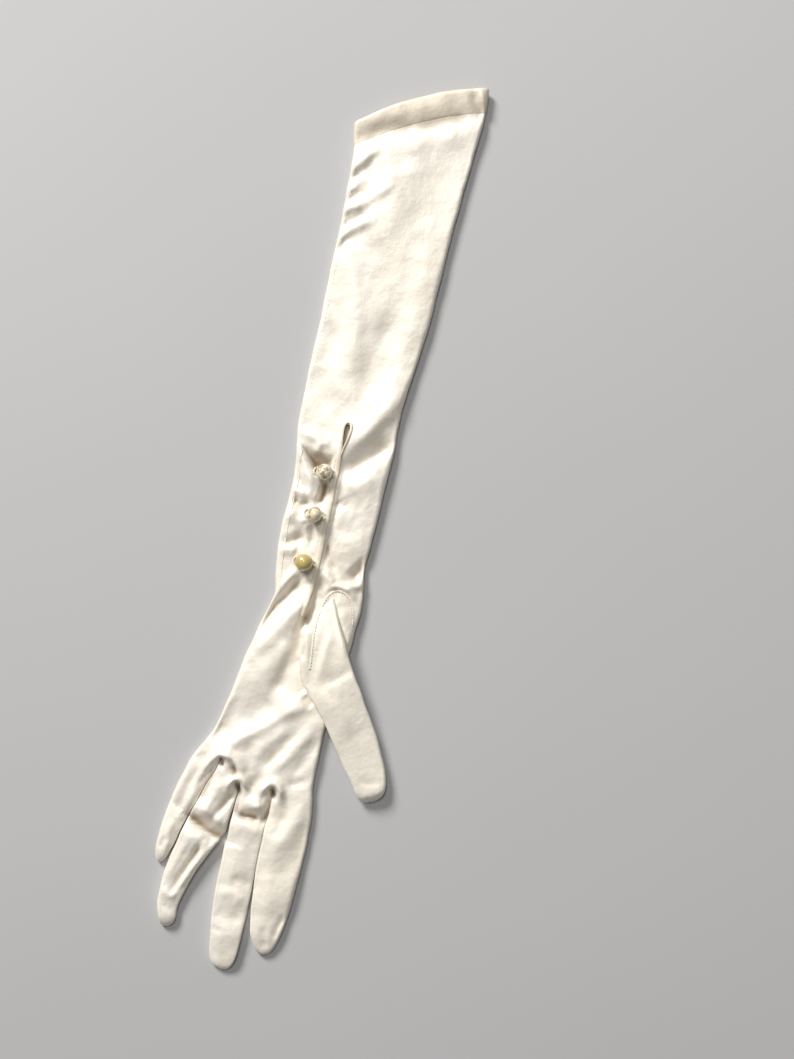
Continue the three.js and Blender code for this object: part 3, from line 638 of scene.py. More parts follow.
class Cloth:
    """A skin of cloth drawn out ring by ring, which remembers how free each point is to fold."""

    def __init__(self):
        self.bm = bmesh.new()
        self.free = self.bm.verts.layers.float.new("free")
        self.lay = self.bm.verts.layers.float_vector.new("lay")

    def put(self, vert, point):
        """Gives a vertex the place and the values of a point."""
        vert.co = place(point.x, point.y, point.z)
        vert[self.free] = point.free
        vert[self.lay] = Vector((point.lay_x, point.lay_y, 0)) * MM

    def start(self, points):
        """Makes the first ring."""
        ring = [self.bm.verts.new() for _ in points]
        for vert, point in zip(ring, points):
            self.put(vert, point)
        ring_edges(self.bm, ring)
        return ring

    def draw_on(self, ring, points):
        """Draws the ring's edges out to the next section."""
        following = drawn_out(self.bm, ring)
        for vert, point in zip(following, points):
            self.put(vert, point)
        return following

    def close(self, ring):
        """Closes the end of a tube with a fan round its middle."""
        made = bmesh.ops.extrude_edge_only(self.bm, edges=ring_edges(self.bm, ring))["geom"]
        tip = [g for g in made if isinstance(g, bmesh.types.BMVert)]
        centre = sum((v.co for v in ring), Vector()) / len(ring)
        bmesh.ops.pointmerge(self.bm, verts=tip, merge_co=centre)

    def finish(self, name):
        """The skin as an object."""
        return drawn_object(self.bm, name)


def draw_arm(cloth):
    """Sleeve and palm, open at the cuff; returns all its rings and their length."""
    rings = []
    rows = spread(ARM)
    for row, travel in rows:
        inset = HEM_INSET * (1 - ease((travel - HEM_WIDTH + HEM_INSET_START) / HEM_INSET_LENGTH))
        if travel < HEM_HIDDEN:
            continue
        points = arm_ring(row, travel, inset)
        rings.append(cloth.draw_on(rings[-1], points) if rings else cloth.start(points))
    return rings, rows[-1][1]


def draw_webs(cloth, palm_end):
    """The strip of cloth that stands in each crotch, from the upper layer to the lower one."""
    webs = []
    for root in ROOTS[1:-1]:
        above = palm_end[root.column]
        below = palm_end[TOP_COLUMNS + UNDER_COLUMNS - root.under]
        chain = [above]
        for k in range(1, SIDE_POINTS + 1):
            share = k / (SIDE_POINTS + 1)
            vert = cloth.bm.verts.new(above.co.lerp(below.co, share))
            vert[cloth.lay] = above[cloth.lay]
            vert[cloth.free] = above[cloth.free] * (1 - share)
            chain.append(vert)
        webs.append(chain[1:])
    return webs


def draw_fingers(cloth, palm_end, travel):
    """The palm's last ring parts into one ring for each finger."""
    webs = draw_webs(cloth, palm_end)
    count = len(palm_end)
    for index, name in enumerate(FINGER_NAMES):
        first, last = ROOTS[index], ROOTS[index + 1]
        under = [palm_end[(count - k) % count] for k in range(last.under, first.under - 1, -1)]
        under = under[1:] if index == len(FINGER_NAMES) - 1 else webs[index] + under
        under = under[:-1] if index == 0 else under + webs[index - 1][::-1]
        ring = palm_end[first.column:last.column + 1] + under
        root_heights = [vert.co.z / MM for vert in ring]
        for row, along in spread(FINGERS[name])[1:]:
            points = finger_ring(row, index, along, travel + along)
            blend = ease(along / ROOT_BLEND)
            points = [
                point._replace(z=root + (point.z - root) * blend)
                for point, root in zip(points, root_heights)
            ]
            ring = cloth.draw_on(ring, points)
        cloth.close(ring)


def open_slit(cloth, rings):
    """Parts the cloth along the slit and draws its two lips aside."""
    shift_y = SHIFT.y * MM
    cut = [r for r in rings if SLIT[0].y < (r[SLIT_COLUMN].co.y - shift_y) / MM < SLIT[-1].y]
    for ring in cut:
        for side, field in ((-1, "left"), (1, "right")):
            for k in range(1, LIP_COLUMNS):
                vert = ring[SLIT_COLUMN + side * k]
                gape = along_slit((vert.co.y - shift_y) / MM, field)
                vert.co.x += side * gape * (1 - k / LIP_COLUMNS) * MM
    edges = [edge_between(cloth.bm, a[SLIT_COLUMN], b[SLIT_COLUMN]) for a, b in zip(cut, cut[1:])]
    bmesh.ops.split_edges(cloth.bm, edges=edges)
    lips = {v for ring in cut for v in (ring[SLIT_COLUMN + k] for k in (-1, 1))}
    for near in lips:
        for edge in near.link_edges:
            vert = edge.other_vert(near)
            if vert.is_boundary and abs(vert.co.y - near.co.y) < LIP_LEVEL * MM:
                side = -1 if near.co.x < vert.co.x else 1
                field = "left" if side < 0 else "right"
                vert.co.x += side * along_slit((vert.co.y - shift_y) / MM, field) * MM
                vert.co.z -= (0.0 if side < 0 else LIP_DROP) * MM


# Relief

def beside(path, spots):
    """For each spot: its distance from a line, which side it is on, and how far along it is."""
    nearest = np.full(len(spots), np.inf)
    side = np.zeros(len(spots))
    share = np.zeros(len(spots))
    corners = np.array(path, float)
    lengths = np.linalg.norm(np.diff(corners, axis=0), axis=1)
    done = 0.0
    for a, b, length in zip(corners, corners[1:], lengths):
        run = b - a
        t = np.clip((spots - a) @ run / length ** 2, 0, 1)
        gap = spots - (a + t[:, None] * run)
        distance = np.linalg.norm(gap, axis=1)
        closer = distance < nearest
        nearest = np.where(closer, distance, nearest)
        side = np.where(closer, np.sign(run[0] * gap[:, 1] - run[1] * gap[:, 0]), side)
        share = np.where(closer, (done + t * length) / lengths.sum(), share)
        done += length
    return nearest, side, share


def rounded(path, rounds):
    """A path with its corners cut off, so that a fold along it bends smoothly."""
    points = [Vector(p) for p in path]
    for _ in range(rounds):
        cut = [points[0]]
        for a, b in zip(points, points[1:]):
            cut += [a.lerp(b, 0.25), a.lerp(b, 0.75)]
        points = cut + [points[-1]]
    return points


FACET_REACH = 1.3  # how far a crisp fold's straight sides run, against its width
CREST_ROUND = 0.16  # how round its crest is
FOOT_ROUND = 0.15  # and its foot
FADE_SHARE = 0.25  # the share of a fold's length over which each end fades
END_HEIGHT = 0.3  # what is left of a fold's height at its two ends


def fold_height(fold, spots):
    """A crest with a narrow top and spreading skirts, or the same thing sunk, fading at its ends."""
    distance, side, share = beside([tuple(p) for p in rounded(fold.path, 1)], spots)
    reach = np.where(side > 0, fold.left, fold.right)
    fade = np.clip(np.minimum(share, 1 - share) / FADE_SHARE, 0, 1)
    fade = fade * fade * (3 - 2 * fade) * (1 - END_HEIGHT) + END_HEIGHT
    if fold.soft:
        return fold.rise * fade * np.exp(-(distance / reach) ** 2)
    slope = 1 - np.sqrt((distance / (reach * FACET_REACH)) ** 2 + CREST_ROUND ** 2) + CREST_ROUND
    return fold.rise * fade * (slope + np.sqrt(slope ** 2 + FOOT_ROUND ** 2)) / 2


LIP_WIDTH = 1.5  # width of the raised lip round a gather
LIP_SIDE = 0.55  # its height at the sides, against its rise
LIP_SLOPE = 0.6  # and how much higher it is above, and lower below
PIT_SHARE = 0.42  # the pit's radius, against the gather's
PIT_SLANT = np.array([[1.2, 0.25], [0.35, 0.7]])


def gather_height(gather, spots):
    """An arched lip with a pit below it."""
    away = spots - np.array([gather.x, gather.y])
    radius = np.linalg.norm(away, axis=1)
    upward = away[:, 1] / np.maximum(radius, 0.1)
    arch = gather.rise * np.exp(-((radius - gather.radius) / LIP_WIDTH) ** 2)
    arch = arch * np.clip(LIP_SIDE + LIP_SLOPE * upward, 0, 1)
    slanted = away @ PIT_SLANT
    return arch - gather.sink * np.exp(-((slanted ** 2).sum(axis=1)) / (gather.radius * PIT_SHARE) ** 2)


# A dent's corners run against the clock, and each of its sides has its own steepness.
Dent = namedtuple("Dent", "corners steeps depth")
DENTS = [
    Dent([(-25.5, 50.5), (-12, 32.5), (-3, 35), (-2.5, 48.5)], (1.7, 1, 1.5, 0.6), 5.4),
]
DENT_ROUND = 0.25
DENT_SHADE = 0.8  # how much painted shade the cloth in a dent gets
DENT_FADE = 2.4  # and how deep, in mm, it is fully so
DENT_FADE_CURVE = 0.7  # below 1, the shade comes on early
DENT_RAGGED = 0.25  # how uneven it is


def dent_height(dent, spots):
    """A hollow with a flat side that slopes down from each edge of its outline."""
    corners = np.array(dent.corners, float)
    depth = np.full(len(spots), dent.depth)
    for a, b, steep in zip(corners, np.roll(corners, -1, axis=0), dent.steeps):
        inward = np.array([a[1] - b[1], b[0] - a[0]]) / math.dist(a, b)
        depth = np.minimum(depth, (spots - a) @ inward * steep)
    return -(depth + np.sqrt(depth ** 2 + DENT_ROUND ** 2)) / 2


def ripple(spots, size, seed):
    """Smooth random relief of about one unit, with waves of about the given size."""
    offset = Vector((seed * 7.3, seed * 3.1, seed))
    return np.array([noise.noise(Vector((x, y, 0)) / size + offset) for x, y in spots])


def spots_of(mesh):
    """A mesh's points in metres, and their places in the tables in millimetres."""
    places = np.zeros(len(mesh.vertices) * 3)
    mesh.vertices.foreach_get("co", places)
    places = places.reshape(-1, 3)
    return places, places[:, :2] / MM - np.array(SHIFT)


SWAY_TURN = np.array([[0.94, -0.34], [0.34, 0.94]])  # turns a random pattern askew

# Patches where the satin has been crushed, and how much.
Rumple = namedtuple("Rumple", "x y wide long amount")
RUMPLES = [
    Rumple(-15, 16, 10, 36, 1),
    Rumple(4, -46, 16, 16, 0.9),
    Rumple(16, 0, 16, 40, 0.45),
    Rumple(-20, -150, 24, 22, 0.5),
    Rumple(-27, 208, 13, 30, 0.9),
    Rumple(-32, -200, 14, 26, 0.5),
    Rumple(4, -190, 18, 22, 0.4),
]
RUMPLE_BASE = 0.12  # what the rest has of it
RIDGE_HEIGHT = 0.8
RIDGE_SIZE = 11.0
RIDGE_ROUND = 0.004
CREASE_HEIGHT = 0.35
CREASE_SIZE = 6.5
CREASE_ROUND = 0.008


def rumple_height(spots):
    """Small sharp crumples, mostly in the crushed patches."""
    amount = np.full(len(spots), RUMPLE_BASE)
    for rumple in RUMPLES:
        away = ((spots[:, 0] - rumple.x) / rumple.wide) ** 2 + ((spots[:, 1] - rumple.y) / rumple.long) ** 2
        amount = np.maximum(amount, rumple.amount * np.exp(-away))
    turned = spots @ SWAY_TURN
    ridges = 1 - 3 * np.sqrt(ripple(turned * [1.0, 0.7], RIDGE_SIZE, 6) ** 2 + RIDGE_ROUND)
    creases = 1 - 3 * np.sqrt(ripple(turned * [0.8, 1.0], CREASE_SIZE, 7) ** 2 + CREASE_ROUND)
    return amount * (RIDGE_HEIGHT * ridges + CREASE_HEIGHT * creases)


# Wide random waves under the folds: height, how far they are drawn out, size and seed.
Wave = namedtuple("Wave", "height squeeze size seed")
WAVES = [Wave(2.0, 0.45, 30.0, 1), Wave(1.0, 0.8, 13.0, 2)]


def relief(spots, folds, gathers, dents, sway):
    """How far the upper layer rises at each spot."""
    height = np.zeros(len(spots))
    for dent in dents:
        height += dent_height(dent, spots)
    for fold in folds:
        height += fold_height(fold, spots)
    for gather in gathers:
        height += gather_height(gather, spots)
    turned = spots @ SWAY_TURN
    for wave in WAVES:
        height += sway * wave.height * ripple(turned * [1.0, wave.squeeze], wave.size, wave.seed)
    return height + rumple_height(spots)


HOLLOW_ROUNDS = 50  # how often the heights are evened out to find the cloth's level
HOLLOW_KEPT = 0.3  # what a point keeps of its own height each time
HOLLOW_TAKEN = 0.7  # and takes from its neighbours
HOLLOW_DEPTH = 3.2  # how deep a hollow is for its painted shade to be full, in mm


def sunken(mesh, lift):
    """How far each point lies below the cloth round it, in the lift's unit."""
    ends = np.zeros(len(mesh.edges) * 2, int)
    mesh.edges.foreach_get("vertices", ends)
    a, b = ends.reshape(-1, 2).T
    count = np.maximum(np.bincount(np.concatenate([a, b]), minlength=len(lift)), 1)
    level = lift.copy()
    for _ in range(HOLLOW_ROUNDS):
        around = np.bincount(a, level[b], len(lift)) + np.bincount(b, level[a], len(lift))
        level = HOLLOW_KEPT * level + HOLLOW_TAKEN * around / count
    return level - lift


SWAY = 0.7  # how much of the wide waves a piece has
THUMB_SWAY = 0.5
WOBBLE = 0.45  # how far the cloth strays sideways
WOBBLE_SIZE = 11.0
UNDER_WOBBLE = 0.5  # how far the lower layer strays from the floor
UNDER_WOBBLE_SIZE = 14.0
RAGGED_SIZE = 5.0
FLOOR_GAP = 0.02  # the least height of the lower layer
LAYER_GAP = 0.1  # the least height of the upper layer's underside
# The lower layer as seen through the slit: half its width, its lower and its upper end.
BEHIND_SLIT = (8, 40, 76)
# How much painted shade the lower layer gets where it shows through the slit.
BEHIND_SLIT_SHADE = 0.6


def mark_points(mesh, name, values):
    """Stores a value at each point of a mesh, for its material to read."""
    layer = mesh.attributes.new(name, "FLOAT", "POINT")
    layer.data.foreach_set("value", values.astype(np.float32))


def raise_folds(obj, folds, gathers=(), dents=(), sway=SWAY, strength=1.0):
    """Lifts and sinks the upper layer of a piece of cloth into its folds."""
    mesh = obj.data
    places, spots = spots_of(mesh)
    free = np.zeros(len(spots))
    mesh.attributes["free"].data.foreach_get("value", free)
    lift = relief(spots, folds, gathers, dents, sway) * free * strength
    # Painted shade: each point's depth below the cloth round it becomes the 'hollow' mark, which darkens
    # the satin's colour in the hollows.
    depth = np.clip(sunken(mesh, lift) / HOLLOW_DEPTH, 0, 1)
    # Painted shade: the dents get extra darkening over their sloping sides.
    for dent in dents:
        sides = np.clip((-dent_height(dent, spots) - DENT_ROUND) / DENT_FADE, 0, 1)
        ragged = 1 + DENT_RAGGED * ripple(spots, RAGGED_SIZE, 8)
        depth = np.maximum(depth, DENT_SHADE * sides ** DENT_FADE_CURVE * ragged * free)
    under = free <= 0
    # Painted shade on the lower layer where it shows through the slit.
    half, low, high = BEHIND_SLIT
    behind = under & (np.abs(spots[:, 0]) < half) & (spots[:, 1] > low) & (spots[:, 1] < high)
    depth[behind] = BEHIND_SLIT_SHADE
    mark_points(mesh, "hollow", depth)
    places[:, 2] += lift * MM
    places[:, 0] += WOBBLE * ripple(spots * [0.3, 1.0], WOBBLE_SIZE, 5) * MM
    places[under, 2] += np.abs(ripple(spots[under], UNDER_WOBBLE_SIZE, 4)) * UNDER_WOBBLE * MM
    lowest = np.where(under, FLOOR_GAP, SATIN_WALL + LAYER_GAP) * MM
    places[:, 2] = np.maximum(places[:, 2], lowest)
    mesh.vertices.foreach_set("co", places.ravel())
    mesh.update()


def give_wall(obj, thickness=SATIN_WALL):
    """Gives a skin its thickness, inwards."""
    wall = obj.modifiers.new("wall", "SOLIDIFY")
    wall.thickness = thickness * MM
    wall.offset = -1.0
    wall.use_even_offset = False


# Materials

class Value:
    """A socket of a material's nodes that is added, subtracted and multiplied like a number."""

    def __init__(self, paint, socket):
        self.paint = paint
        self.socket = socket

    def combine(self, operation, first, second):
        """One step of arithmetic as a node."""
        return self.paint.node("Math", {"operation": operation}, {0: first, 1: second})

    def __add__(self, other):
        return self.combine("ADD", self, other)

    def __radd__(self, other):
        return self.combine("ADD", other, self)

    def __sub__(self, other):
        return self.combine("SUBTRACT", self, other)

    def __rsub__(self, other):
        return self.combine("SUBTRACT", other, self)

    def __mul__(self, other):
        return self.combine("MULTIPLY", self, other)

    def __rmul__(self, other):
        return self.combine("MULTIPLY", other, self)


class Paint:
    """A material under construction."""

    def __init__(self, name, **constants):
        self.material = bpy.data.materials.new(name)
        self.material.use_nodes = True
        self.tree = self.material.node_tree
        self.shader = next(n for n in self.tree.nodes if n.type == "BSDF_PRINCIPLED")
        for socket, value in constants.items():
            self.shader.inputs[socket.replace("_", " ")].default_value = value

    def node(self, kind, settings=None, inputs=None, output=0):
        """Adds one node; its settings come first, then the values or links of its sockets."""
        node = self.tree.nodes.new("ShaderNode" + kind)
        for key, value in (settings or {}).items():
            if key == "stops":
                self.set_stops(node, value)
            else:
                setattr(node, key, value)
        for key, value in (inputs or {}).items():
            self.feed(node.inputs[key], value)
        return Value(self, node.outputs[output])

    def set_stops(self, node, stops):
        """Gives a colour ramp its stops, each a position and a colour."""
        ramp = node.color_ramp
        while len(ramp.elements) < len(stops):
            ramp.elements.new(0.5)
        for element, (position, color) in zip(ramp.elements, stops):
            element.position = position
            element.color = (*color, 1.0) if len(color) == 3 else color

    def feed(self, socket, value):
        """Links a socket to a value, or sets it to a number or colour."""
        if isinstance(value, Value):
            self.tree.links.new(value.socket, socket)
        else:
            socket.default_value = value

    def mix(self, share, first, second):
        """Two colours mixed by a share."""
        settings = {"data_type": "RGBA"}
        return self.node("Mix", settings, {0: share, 6: first, 7: second}, output=2)

    def noise(self, vector, scale, detail=2.0, roughness=0.5):
        """A random pattern, from 0 to 1."""
        inputs = {"Vector": vector, "Scale": scale, "Detail": detail, "Roughness": roughness}
        return self.node("TexNoise", None, inputs)

    def spot(self):
        """The place on the object."""
        return self.node("TexCoord", output=3)

    def marked(self, name):
        """A value that the mesh carries at each point."""
        return self.node("Attribute", {"attribute_name": name}, output=2)

    def ramp(self, value, stops):
        """A colour that runs through some stops as a value rises."""
        return self.node("ValToRGB", {"stops": stops}, {0: value})

    def mask(self, value, low, high):
        """From 0 to 1 as a value goes from low to high."""
        return self.ramp(value, [(low, BLACK), (high, WHITE)])

    def set(self, socket, value):
        """Sets or links one input of the surface."""
        self.feed(self.shader.inputs[socket], value)

    def set_relief(self, height, strength, distance):
        """Fine relief of the surface; the distance is its depth, in metres."""
        inputs = {"Strength": strength, "Distance": distance, "Height": height}
        self.set("Normal", self.node("Bump", None, inputs))


def rgb(red, green, blue):
    return (red, green, blue, 1.0)


BLACK = (0, 0, 0)
WHITE = (1, 1, 1)
IVORY = rgb(0.89, 0.835, 0.74)
# A darker tan ivory for the hem, the binding and the underlap, partly painted shade.
EDGE_SHADED_IVORY = rgb(0.78, 0.70, 0.57)
YELLOWED = rgb(0.82, 0.72, 0.55)
# The colours of the painted shade in the satin's hollows.
SHADED = (0.57, 0.48, 0.36)
DEEP_SHADE = (0.25, 0.185, 0.115)
GRIME_AND_SHADE = rgb(0.40, 0.33, 0.25)
PEELED = rgb(0.36, 0.26, 0.11)

# The satin's patterns, in waves for each metre.
CLOUD_SCALE = 9.0
MOTTLE_SCALE = 60.0
SWELL_SCALE = 150.0
SPECK_SCALE = 260.0
CRINKLE_SCALE = 420.0
WEAVE_SCALE = (2600.0, 160.0, 1.0)  # across the threads and along them
# And those of the pearls and the threads.
PEARL_SCALE = 260.0
PIT_SCALE = 1500.0
THREAD_SCALE = 300.0
FIBRE_SCALE = 900.0
RIM_SHADE_TONE = 0.62  # how dark the painted shade on a pearl's sides is against its top
STREAK_TONE = 0.8  # and its streaks


def satin(name, ivory):
    """Ivory satin: a soft gloss, fine threads along the cloth, age, painted shade in its hollows, and
    soiling that is partly painted shade.
    """
    paint = Paint(name, Metallic=0.06, Sheen_Weight=0.2, Sheen_Roughness=0.5,
                  Specular_IOR_Level=0.55, Coat_Roughness=0.4)
    spot = paint.spot()
    cloud = paint.noise(spot, CLOUD_SCALE, 3.0, 0.55)
    mottle = paint.noise(spot, MOTTLE_SCALE, 4.0, 0.6)
    color = paint.mix(paint.mask(cloud, 0.42, 0.72) * 0.3, ivory, YELLOWED)
    color = paint.mix(paint.mask(mottle, 0.5, 0.75) * 0.14, color, YELLOWED)
    # Painted shade: the satin darkens to a tan, then a deep brown, by its 'hollow' mark.
    hollow = paint.marked("hollow")
    shade = paint.ramp(hollow, [(0.25, SHADED), (1.0, DEEP_SHADE)])
    shading = paint.ramp(hollow, [(0.12, BLACK), (0.42, (0.45, 0.45, 0.45)), (1.0, WHITE)])
    color = paint.mix(shading * (mottle * 0.6 + 0.7), color, shade)
    speck = paint.noise(spot, SPECK_SCALE, 3.0, 0.7)
    # Soiling at the tips and round the buttons, and painted shade at the finger roots, in one grey-brown.
    color = paint.mix(paint.marked("soil") * (speck * 1.4 + 0.1) * 0.4, color, GRIME_AND_SHADE)
    paint.set("Base Color", color)
    paint.set("Roughness", 0.40 + mottle * 0.12)
    paint.set("Coat Weight", 0.12 + cloud * 0.12)
    lay = paint.node("Attribute", {"attribute_name": "lay"}, output=1)
    threads = paint.node("Mapping", None, {"Vector": lay, "Scale": WEAVE_SCALE})
    weave = paint.noise(threads, 1.0)
    crinkle = paint.noise(spot, CRINKLE_SCALE, 4.0, 0.6)
    swell = paint.noise(spot, SWELL_SCALE)
    paint.set_relief(weave * 0.3 + crinkle * 0.65 + swell * 2.2, 0.38, 0.0006)
    return paint.material


def pearl_coat(name, base):
    """Imitation pearl: glossy, with painted shade round its sides, and dull and brown where it has peeled.
    """
    paint = Paint(name, Coat_Roughness=0.06, IOR=1.6, Sheen_Weight=0.0, Coat_IOR=1.6)
    spot = paint.spot()
    chip = paint.marked("chip")
    upward = paint.node("SeparateXYZ", None, {0: paint.node("TexCoord", output=1)}, output=2)
    cloud = paint.noise(spot, PEARL_SCALE, 3.0)
    rim = rgb(*(c * RIM_SHADE_TONE for c in base))
    streak = rgb(*(c * STREAK_TONE for c in base))
    # Painted shade: the bead is darker on its sides and underside than on its top.
    color = paint.mix((1 - upward) * 0.8, rgb(*base), rim)
    color = paint.mix(paint.mask(cloud, 0.4, 0.62) * 0.45, color, streak)
    color = paint.mix(chip * 0.85, color, PEELED)
    paint.set("Base Color", color)
    paint.set("Roughness", 0.2 + chip * 0.3 + cloud * 0.08)
    paint.set("Coat Weight", 0.9 - chip * 0.7)
    paint.set_relief(paint.noise(spot, PIT_SCALE, 3.0) * chip, 0.25, 0.0002)
    return paint.material


def thread(name, light, dark):
    """Matt sewing thread, between two tones."""
    paint = Paint(name, Sheen_Weight=0.3)
    spot = paint.spot()
    paint.set("Base Color", paint.mix(paint.noise(spot, THREAD_SCALE), light, dark))
    paint.set("Roughness", 0.6 + paint.noise(spot, FIBRE_SCALE) * 0.2)
    return paint.material


def floor_material():
    """A plain pale floor."""
    paint = Paint("floor", Roughness=0.85)
    cloud = paint.noise(paint.spot(), 3.0)
    paint.set("Base Color", paint.mix(cloud, rgb(0.47, 0.47, 0.475), rgb(0.50, 0.50, 0.505)))
    return paint.material


# Soiled places: the fingertips and the cloth round the buttons. The marks at the finger roots and below the
# middle finger's root are painted shade.
Mark = namedtuple("Mark", "x y radius amount")
MARKS = [
    Mark(27, -262, 9, 0.9),
    Mark(5, -272, 10, 0.8),
    Mark(-41, -262, 7, 0.7),
    Mark(-54, -220, 8, 0.6),
    Mark(70, -155, 8, 0.5),
    Mark(-14, -168, 9, 0.6),
    Mark(6, -166, 8, 0.5),
    Mark(-28, -156, 7, 0.5),
    Mark(-8, -190, 10, 0.35),
    Mark(-6, 8, 14, 0.25),
    Mark(-6, -24, 10, 0.3),
]


def soil(obj):
    """Marks how soiled each point of a piece is, together with the painted shade at the finger roots."""
    _, spots = spots_of(obj.data)
    amount = np.zeros(len(spots))
    for mark in MARKS:
        away = np.hypot(spots[:, 0] - mark.x, spots[:, 1] - mark.y)
        amount = np.maximum(amount, mark.amount * np.exp(-(away / mark.radius) ** 2))
    mark_points(obj.data, "soil", amount)


def finish_piece(obj, material, slot, *nodes):
    """Gives a piece its material, the body it rides on, and the nodes that it replaces. The slot is not
    used.
    """
    obj.data.materials.append(material)
    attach(obj, "root")
    if nodes:
        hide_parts(*nodes)


# Trim

RAY_START = 60  # height from which the surface is sought


class Tops:
    """The height of the glove's upper surface at any spot."""

    def __init__(self, *pieces):
        self.trees = []
        for piece in pieces:
            bm = bmesh.new()
            bm.from_mesh(piece.data)
            self.trees.append(BVHTree.FromBMesh(bm))
            bm.free()

    def at(self, x, y, reach=0.0):
        """The highest point at a spot, or within a reach of it, in millimetres."""
        best = 0.0
        around = [(0, 0)] + ([(reach, 0), (-reach, 0), (0, reach), (0, -reach)] if reach else [])
        for dx, dy in around:
            for tree in self.trees:
                hit = tree.ray_cast(place(x + dx, y + dy, RAY_START), Vector((0, 0, -1)))[0]
                if hit:
                    best = max(best, hit.z / MM)
        return best


def smooth_path(path, step):
    """A path with round corners and evenly spaced points."""
    points = rounded(path, 3)
    travel = [0.0]
    for a, b in zip(points, points[1:]):
        travel.append(travel[-1] + (b - a).length)
    wanted = np.linspace(0, travel[-1], max(2, round(travel[-1] / step)) + 1)
    fields = list(zip(*points))
    return [Vector(np.interp(w, travel, field) for field in fields) for w in wanted]


def heading(points, k):
    """The way forward along a line at one of its points."""
    return (points[min(k + 1, len(points) - 1)] - points[max(k - 1, 0)]).normalized()


def settled(values, rounds):
    """Values along a path, with small jumps evened out."""
    for _ in range(rounds):
        inner = [(a + 2 * b + c) / 4 for a, b, c in zip(values, values[1:], values[2:])]
        values = [values[0]] + inner + [values[-1]]
    return values


def tube(bm, centres, section):
    """Draws a tube along points in mm; section(k, forward) gives one ring's points round the centre."""
    ends = []
    for k, centre in enumerate(centres):
        outline = [centre + offset for offset in section(k, heading(centres, k))]
        if k == 0:
            ring = [bm.verts.new() for _ in outline]
            ring_edges(bm, ring)
        else:
            ring = drawn_out(bm, ring)
        for vert, point in zip(ring, outline):
            vert.co = place(point.x, point.y, point.z)
        if k in (0, len(centres) - 1):
            ends.append(ring)
    for ring in ends:
        bmesh.ops.contextual_create(bm, geom=ring)


def round_section(radius, sides):
    """A round section across the way forward."""
    def ring(_, forward):
        side = forward.cross(Vector((0, 0, 1)))
        side = side.normalized() if side.length > 0.01 else Vector((1, 0, 0))
        up = side.cross(forward)
        turns = [2 * math.pi * k / sides for k in range(sides)]
        return [side * math.cos(a) * radius + up * math.sin(a) * radius for a in turns]
    return ring


# The binding of the slit: the line that it follows, and its width.
Strip = namedtuple("Strip", "x y width")
BINDING = [
    Strip(0, -55.5, 1.4),
    Strip(0.6, -50, 2.4),
    Strip(1.2, -42, 2.9),
    Strip(2.2, -30, 3.1),
    Strip(2, -12, 3.1),
    Strip(1.6, 8, 3.1),
    Strip(1.3, 28, 3),
    Strip(0.9, 42, 2.8),
    Strip(0.2, 50, 2.3),
    Strip(-0.5, 57, 1.9),
    Strip(-1.1, 63, 1.7),
    Strip(-1.1, 67.2, 1.6),
    Strip(0.2, 70.2, 1.6),
    Strip(2.4, 70.2, 1.6),
    Strip(3.9, 67, 1.6),
    Strip(3.6, 62.5, 1.5),
    Strip(2.6, 57.5, 1.2),
    Strip(1.4, 52, 1),
    Strip(1, 47, 0.8),
]
BINDING_HEIGHT = 1.15
BINDING_RISE = 0.55  # how much of that it reaches above its middle, and below
BINDING_LIFT = 0.3  # how far its middle lies above the cloth
BINDING_REACH = 0.4  # how far past its sides it rests on the cloth
BINDING_END = 0.35  # its width at its two ends, against the table's
BINDING_SQUARE = 0.6  # below 1, its section is squarer than an ellipse
BINDING_STEP = 1.0
BINDING_SIDES = 12


def slit_binding(tops):
    """The narrow bound strip along the slit, which loops round the slit's open top."""
    rows = smooth_path(BINDING, BINDING_STEP)
    heights = settled([tops.at(x, y, width / 2 + BINDING_REACH) for x, y, width in rows], 3)
    centres = [Vector((row[0], row[1], height + BINDING_LIFT)) for row, height in zip(rows, heights)]

    def section(k, forward):
        side = forward.cross(Vector((0, 0, 1))).normalized()
        up = side.cross(forward)
        half = rows[k][2] / 2 * (BINDING_END if k in (0, len(rows) - 1) else 1.0)
        ring = []
        for i in range(BINDING_SIDES):
            turn = 2 * math.pi * i / BINDING_SIDES
            wide = math.copysign(abs(math.cos(turn)) ** BINDING_SQUARE, math.cos(turn))
            ring.append(side * wide * half + up * math.sin(turn) * BINDING_HEIGHT * BINDING_RISE)
        return ring

    bm = bmesh.new()
    tube(bm, centres, section)
    return drawn_object(bm, "slit_edging")


UNDERLAP = (-4.5, 7.0, 44.0, 73.0)  # left, right, lower and upper side
UNDERLAP_DEPTH = 2.6  # how far it lies below the lips
# How much painted shade the underlap's satin gets.
UNDERLAP_SHADE = 0.78


def slit_underlap(tops):
    """The tongue of satin that lies inside the slit and shows at its open top, with painted shade on it."""
    left, right, low, high = UNDERLAP
    bm = bmesh.new()
    lay = bm.verts.layers.float_vector.new("lay")
    hollow = bm.verts.layers.float.new("hollow")
    bmesh.ops.create_grid(bm, x_segments=8, y_segments=20, size=1.0)
    for vert in bm.verts:
        across, along = (vert.co.x + 1) / 2, (vert.co.y + 1) / 2
        y = low + (high - low) * along
        height = tops.at(left, y) * (1 - across) + tops.at(right, y) * across - UNDERLAP_DEPTH
        vert[lay] = Vector((across * (right - left), y, 0)) * MM
        vert[hollow] = UNDERLAP_SHADE
        vert.co = place(left + (right - left) * across, y, height)
    obj = mesh_object(bm, "slit_underlap")
    give_wall(obj, HEM_WALL)
    return obj


